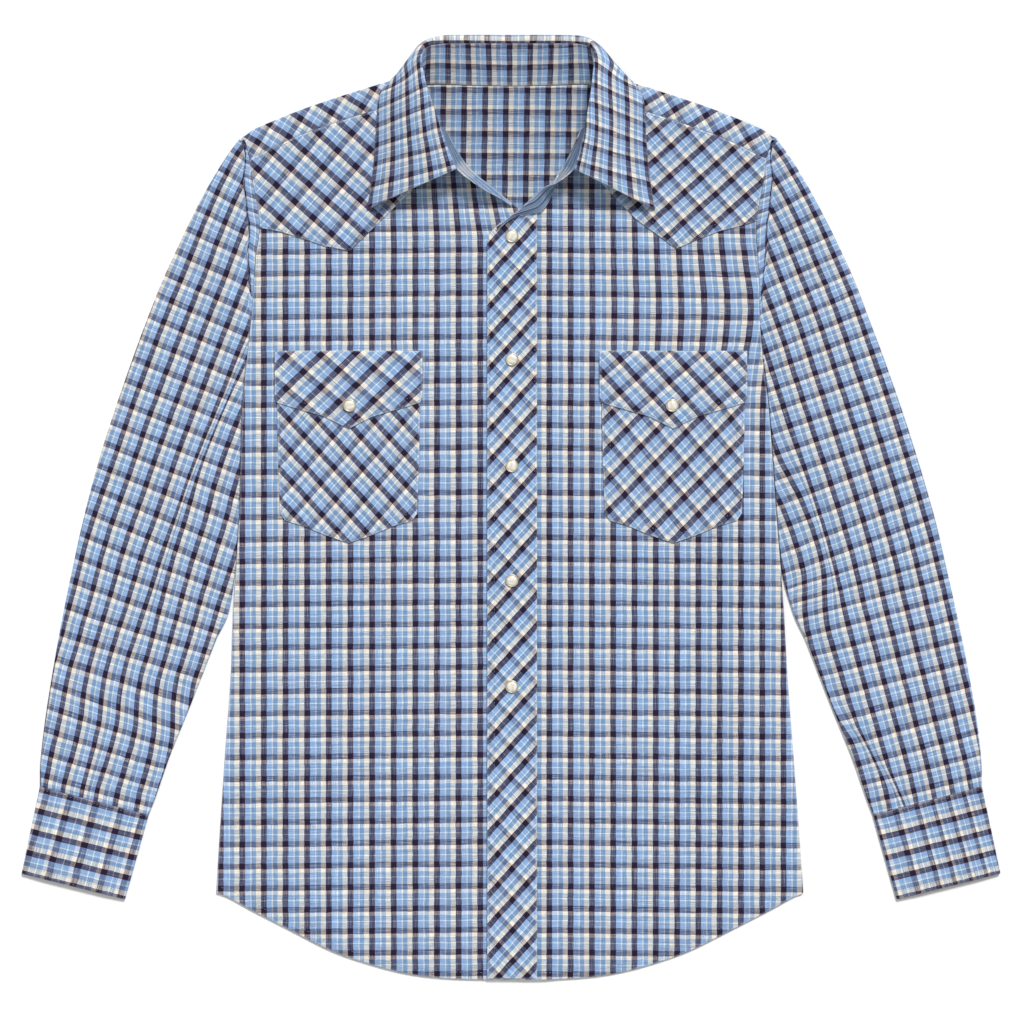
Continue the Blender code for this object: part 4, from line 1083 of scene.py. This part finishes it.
def make_leaf(finish):
    """The leaf rolls over from the top of the stand and lies down on the yokes."""
    rows = curve_points(leaf_rows(RIGHT)[::-1] + leaf_rows(LEFT)[1:], 10)
    t = np.linspace(0, 1, 34)[:, None] ** 1.15
    s = 1 - t
    start, first, second, end = (rows[:, None, k : k + 3] for k in (0, 3, 6, 9))
    grid = s**3 * start + 3 * s * s * t * first + 3 * s * t * t * second + t**3 * end
    grid[..., 2] = np.maximum(grid[..., 2], 0)
    down = runs(grid.transpose(1, 0, 2)).T
    share = down / down[:, -1:]
    half = np.array(COLLAR_STRIPES)
    other = half * (-1, -1, 1, 1) - (LEFT_COUNT, LEFT_COUNT, 0, 0)
    other[1:3, :2] += LEFT_EXTRA
    stripes = curve_points(np.concatenate([half[::-1], other[1:]]), 10)
    v_fold, v_hem, u_fold, u_hem = (stripes[:, k : k + 1] for k in range(4))
    index = np.arange(len(rows))[:, None]
    bend = mix(*LEAF_BEND, smooth(index / 30 - 2.3))
    u, v = mix(u_fold, u_hem, share**bend), mix(v_fold, v_hem, share)
    edge = np.minimum(down[:, -1:] - down, np.minimum(index, index[::-1]) * 2.6)
    add_band("collar_leaf", grid, u, v, edge, finish, wall=1.0)


class Nodes:
    """A short way to write shader nodes."""

    def __init__(self, name):
        self.material = bpy.data.materials.new(name)
        self.material.use_nodes = True
        self.tree = self.material.node_tree
        self.shader = self.tree.nodes["Principled BSDF"]

    def feed(self, node, inputs):
        """Links or sets a node's inputs."""
        for key, value in inputs.items():
            if isinstance(value, bpy.types.NodeSocket):
                self.tree.links.new(value, node.inputs[key])
            else:
                node.inputs[key].default_value = value

    def add(self, kind, inputs=None, **settings):
        """The outputs of a new node, with its inputs linked or set and its settings given."""
        node = self.tree.nodes.new(kind)
        for key, value in settings.items():
            setattr(node, key, value)
        self.feed(node, inputs or {})
        return node.outputs

    def math(self, operation, a, b=0.0, c=0.0):
        """A Math node's result."""
        return self.add("ShaderNodeMath", {0: a, 1: b, 2: c}, operation=operation)[0]

    def noise(self, u, v, scale_u, scale_v):
        """Noise over the plaid, stretched to so many cells for each stripe pitch."""
        place = {0: self.math("MULTIPLY", u, scale_u), 1: self.math("MULTIPLY", v, scale_v)}
        inputs = {"Vector": self.add("ShaderNodeCombineXYZ", place)[0], "Scale": 1.0, "Detail": 2.0}
        return self.add("ShaderNodeTexNoise", inputs, noise_dimensions="2D")["Fac"]

    def blend(self, kind, share, a, b):
        """Two colours mixed."""
        return self.add("ShaderNodeMix", {0: share, 6: a, 7: b}, data_type="RGBA", blend_type=kind)[2]

    def stripes(self, place, table):
        """Colours by place within one repeat, each as wide as its share."""
        wanted, at = [], 0.0
        for width, colour in table:
            wanted += [(at + STRIPE_SOFTNESS, colour), (at + width - STRIPE_SOFTNESS, colour)]
            at += width
        colours = self.add("ShaderNodeValToRGB", {"Fac": place})["Color"]
        stops = colours.node.color_ramp.elements
        while len(stops) < len(wanted):
            stops.new(0.5)
        for stop, (position, colour) in zip(stops, wanted):
            stop.position = position
            stop.color = (*(c / 255 for c in colour), 1.0)
        return colours


def plaid_material(name, roughness, shade=1.0, cross_share=0.46):
    """Yarn-dyed plaid: upright and cross yarns mix where they cross, with slubs and a fine weave."""
    n = Nodes(name)
    split = n.add("ShaderNodeSeparateXYZ", {0: n.add("ShaderNodeUVMap", uv_map="grain")["UV"]})
    u, v = split["X"], split["Y"]
    yarns = []
    for at, across, pace, table in ((u, v, 2.3, WARP), (v, u, 2.1, WEFT)):
        wobble = n.math("MULTIPLY", n.math("SUBTRACT", n.noise(at, across, 0.6, pace), 0.5), 0.05)
        place = n.math("ADD", n.math("ADD", at, wobble), table[0][0] / 2)
        yarns.append(n.stripes(n.math("FRACT", place), table))
    over, under = (n.math("SINE", n.math("MULTIPLY", at, math.pi * THREADS)) for at in (u, v))
    weave = n.math("MULTIPLY", over, under)
    slub_u, slub_v = n.noise(u, v, 34, 0.9), n.noise(u, v, 0.9, 34)
    slubs = n.math("ADD", slub_u, slub_v)
    share = n.math("MULTIPLY_ADD", weave, 0.12, cross_share)
    share = n.math("ADD", share, n.math("MULTIPLY", n.math("SUBTRACT", slub_u, slub_v), 0.7))
    tint = n.blend("MIX", n.noise(u, v, 0.45, 0.3), (1.02, 0.99, 0.98, 1), (0.97, 1.0, 1.025, 1))
    cloth = n.blend("MULTIPLY", 1.0, n.blend("MIX", share, *yarns), tint)
    # shade below 1 darkens the whole cloth: painted shade.
    bright = n.math("MULTIPLY_ADD", slubs, 0.34 * shade, 0.66 * shade)
    grey = n.add("ShaderNodeCombineXYZ", {0: bright, 1: bright, 2: bright})[0]
    cloth = n.blend("MULTIPLY", 1.0, cloth, grey)
    # Cloth within about 1.6 mm of an edge is mixed towards pale grey-white: partly wear, partly a painted
    # highlight along folded edges.
    edge = n.add("ShaderNodeAttribute", attribute_name="edge_mm")["Fac"]
    limits = {"Value": edge, "From Min": 0.2, "From Max": 1.6, "To Min": 0.34, "To Max": 0.0}
    patchy = n.math("MULTIPLY_ADD", n.noise(u, v, 6, 6), 1.2, 0.2)
    wear_and_painted_highlight = n.math("MULTIPLY", n.add("ShaderNodeMapRange", limits)[0], patchy)
    cloth = n.blend("MIX", wear_and_painted_highlight, cloth, (0.93, 0.93, 0.94, 1))
    relief = n.math("MULTIPLY_ADD", weave, 0.5, n.math("MULTIPLY", slubs, 1.2))
    bump = n.add("ShaderNodeBump", {"Height": relief, "Strength": 0.35, "Distance": 0.00025})
    n.feed(n.shader, {
        "Base Color": n.add("ShaderNodeGamma", {"Color": cloth, "Gamma": 2.2})[0],
        "Roughness": n.math("MULTIPLY_ADD", n.noise(u, v, 5, 5), 0.12, roughness),
        "Normal": bump[0],
        "Sheen Weight": 0.03,
        "Sheen Roughness": 0.5,
        "Specular IOR Level": 0.15,
    })
    return n.material


def speckled_material(name, scale, detail, dark, pale, rough, swirl=False, **shader):
    """Two colours that mingle in fine noise. rough is a number, or a factor and a start."""
    n = Nodes(name)
    place = n.add("ShaderNodeTexCoord")["Object"]
    cells = {"Vector": place, "Scale": scale, "Detail": detail}
    noise = share = n.add("ShaderNodeTexNoise", cells)["Fac"]
    if swirl:
        swirls = {"Vector": place, "Scale": 60.0, "Distortion": 9.0, "Detail": 2.0}
        wave = n.add("ShaderNodeTexWave", swirls)["Fac"]
        share = n.math("MULTIPLY", n.math("ADD", wave, noise), 0.5)
    if isinstance(rough, tuple):
        rough = n.math("MULTIPLY_ADD", noise, *rough)
    n.feed(n.shader, {"Base Color": n.blend("MIX", share, (*dark, 1), (*pale, 1)), "Roughness": rough})
    n.feed(n.shader, {key.replace("_", " "): value for key, value in shader.items()})
    return n.material


def make_snaps(pearl, metal):
    """A pearl cap in a metal rim in place of each snap's solid."""
    turns = math.tau * np.arange(SNAP_SIDES) / SNAP_SIDES
    around = [(k, (k + 1) % SNAP_SIDES) for k in range(SNAP_SIDES)]
    rings, faces, pearly = [], [], []
    for k, (radius, z, is_pearl) in enumerate(SNAP_PROFILE[:-1]):
        rings.append(np.column_stack([radius * np.cos(turns), radius * np.sin(turns), 0 * turns + z]))
        last = k * SNAP_SIDES
        if k:
            low = last - SNAP_SIDES
            faces += [(low + a, low + b, last + b, last + a) for a, b in around]
            pearly += [is_pearl] * SNAP_SIDES
    points = np.concatenate(rings + [[(0, 0, SNAP_PROFILE[-1][1]), (0, 0, 0)]])
    top = len(points) - 2
    for a, b in around:
        faces += [(last + a, last + b, top), (b, a, top + 1)]
        pearly += [1, 0]
    nodes = [f"snap_{i}" for i in range(1, 6)] + ["snap_flap_right", "snap_flap_left"]
    for k, node in enumerate(nodes):
        low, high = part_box(node)
        thing = add_mesh(f"{node}_cap", points, faces, [metal, pearl])
        thing.data.polygons.foreach_set("material_index", pearly)
        middle = (low + high) / 2
        thing.location = (middle.x, middle.y, low.z)
        thing.rotation_euler = (0, 0, 1.7 * k)
        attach(thing, "root")
        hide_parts(node)


THREAD_POINTS, THREAD_FACES = [], []


def stitches(line, node, inset=0.0, skip=0):
    """Beads of thread on a piece, this far to a line's left, without so many points at its ends."""
    line = np.array(line, float)
    line = (line + inset * left_of(np.gradient(line, axis=0)))[skip : len(line) - skip]
    run = runs(line)
    for k in range(int(run[-1] / STITCH_PITCH)):
        ends = []
        for part in (k + 0.5) * STITCH_PITCH + np.array((-0.5, 0.5)) * STITCH_LENGTH:
            x, y = (np.interp(part, run, column) for column in line.T)
            hit = SURFACES[node].ray_cast(Vector((x, y, 60)), Vector((0, 0, -1)))[0]
            if hit is not None:
                ends.append(np.array(hit))
        if len(ends) < 2 or abs(ends[0][2] - ends[1][2]) > 1.5:
            continue
        a, b = ends
        ahead = unit(b - a)
        across = unit(np.cross(ahead, (0, 0, 1)))
        up = np.cross(across, ahead)
        start = len(THREAD_POINTS)
        THREAD_POINTS.append(a - 0.08 * up)
        for share, lift in ((0.18, 0.07), (0.5, 0.13), (0.82, 0.07)):
            for turn in math.tau * np.arange(5) / 5:
                bead = math.cos(turn) * across + math.sin(turn) * up
                THREAD_POINTS.append(mix(a, b, share) + lift * up + THREAD_RADIUS * bead)
        THREAD_POINTS.append(b - 0.08 * up)
        for j in range(1, 6):
            here, after = start + j, start + j % 5 + 1
            THREAD_FACES.append((start, here, after))
            THREAD_FACES.append((here, here + 5, after + 5, after))
            THREAD_FACES.append((here + 5, here + 10, after + 10, after + 5))
            THREAD_FACES.append((here + 10, start + 16, after + 10))


def make_stitching(thread):
    """Rows of topstitching on the placket, yokes, pockets, flaps, cuffs, armholes and hems."""
    right, left = PLACKET_EDGES
    bottom, right_top, left_top = PLACKET_STITCH_YS
    for inset in (STITCH_INSETS[0], HEM_STITCH):
        stitches([(left - inset, bottom), (left - inset, left_top)], "placket")
        stitches([(right + inset, right_top), (right + inset, bottom)], "placket")
    for word, side in SIDES.items():
        yoke, front, cuff = f"front_yoke_{word}", f"front_{word}", f"cuff_{word}"
        for inset in STITCH_INSETS:
            for kind, half in (("pocket", POCKET_HALF), ("flap", FLAP_HALF)):
                stitches(both_halves(half, side * POCKET_CENTRE), f"{kind}_{word}", inset, skip=1)
            stitches(sided(YOKE_EDGE[side], side)[::-side], yoke, inset)
        stitches(seam_line(side), yoke, SEAM_STITCH * side)
        stitches(hem_line(side)[::side], front, HEM_STITCH, skip=1)
        for node in (front, yoke):
            stitches(side_line(side, UNDERARM_Y, 300), node, ARMHOLE_STITCH * side)
        outer, inner = cuff_edges(side)
        across = CUFF_STITCH_MARGIN * (inner - outer) / np.linalg.norm(inner[0] - outer[0])
        for inset in CUFF_STITCH_INSETS:
            down = inset * unit(outer[1] - outer[0])
            for end, shift in ((0, down), (1, -down)):
                stitches([outer[end] + across[end] + shift, inner[end] - across[end] + shift], cuff)
    thing = add_mesh("topstitching", THREAD_POINTS, THREAD_FACES, [thread])
    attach(thing, "root")


def aim(thing, direction):
    """Turns a light to shine in a direction."""
    thing.rotation_euler = Vector(direction).to_track_quat("-Z", "Y").to_euler()


def make_stage():
    """A white table, soft even light from above and from the collar's end, and a camera above."""
    square = ((-1, -1), (1, -1), (1, 1), (-1, 1))
    corners = [(x * TABLE_SIZE, y * TABLE_SIZE, TABLE_Z) for x, y in square]
    white = ("white_table", 3.0, 2.0, (0.93, 0.93, 0.935), (0.95, 0.95, 0.95), 0.9)
    white = speckled_material(*white, Specular_IOR_Level=0.1)
    add_mesh("table", corners, [(0, 1, 2, 3)], [white])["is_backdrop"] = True
    sun = bpy.data.lights.new("key", "SUN")
    sun.energy = 2.9
    sun.angle = math.radians(16)
    aim(add_object("key", sun), (-0.28, -0.85, -1.0))
    fill_light = bpy.data.lights.new("fill", "AREA")
    fill_light.size = 2.2
    fill_light.energy = 8
    place = Vector((-1.8, -0.6, 2.2))
    aim(add_object("fill", fill_light, place), -place)
    world = bpy.data.worlds.new("studio")
    world.use_nodes = True
    background = world.node_tree.nodes["Background"]
    background.inputs["Color"].default_value = (1.0, 1.0, 1.0, 1)
    background.inputs["Strength"].default_value = 0.42
    data = bpy.data.cameras.new("camera")
    data.lens = 100
    data.sensor_width = 36
    scene = bpy.context.scene
    scene.world = world
    scene.view_settings.view_transform = "Standard"
    scene.camera = add_object("camera", data, Vector(CAMERA_PLACE) * MM)


make_stage()
PLAID = (plaid_material("plaid_cotton", 0.8), "plaid_cloth")
# A copy of the plaid at 0.9 brightness, used on the inner yoke and the stand: painted shade for the shade
# inside the neck.
SHADED_PLAID = (plaid_material("plaid_cotton_painted_shade", 0.8, shade=0.9), "plaid_cloth")
BIAS = (plaid_material("bias_plaid_cotton", 0.82), "bias_plaid_cloth")
PLACKET = (plaid_material("placket_cotton", 0.82, cross_share=0.36), "bias_plaid_cloth")
make_back(PLAID, SHADED_PLAID)
make_back_yoke(BIAS)
make_fronts(PLAID, BIAS, PLACKET)
make_pockets(BIAS)
make_sleeves(PLAID)
make_cuffs(PLAID)
make_stand(SHADED_PLAID)
make_leaf(PLAID)
PEARL = ("pearl_snap_cap", 420.0, 3.0, (0.62, 0.57, 0.45), (0.88, 0.86, 0.80), (0.14, 0.16), True)
METAL = ("snap_rim_metal", 900.0, 3.0, (0.42, 0.35, 0.24), (0.66, 0.59, 0.46), (0.25, 0.22))
THREAD = ("sewing_thread", 1500.0, 2.0, (0.13, 0.17, 0.26), (0.30, 0.36, 0.46), (0.2, 0.5))
pearl = speckled_material(*PEARL, Coat_Weight=0.6, Coat_Roughness=0.08)
make_snaps(pearl, speckled_material(*METAL, Metallic=0.55))
make_stitching(speckled_material(*THREAD))

dressed_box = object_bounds()
[[list(corner) for corner in box] for box in (cad_box, dressed_box)]
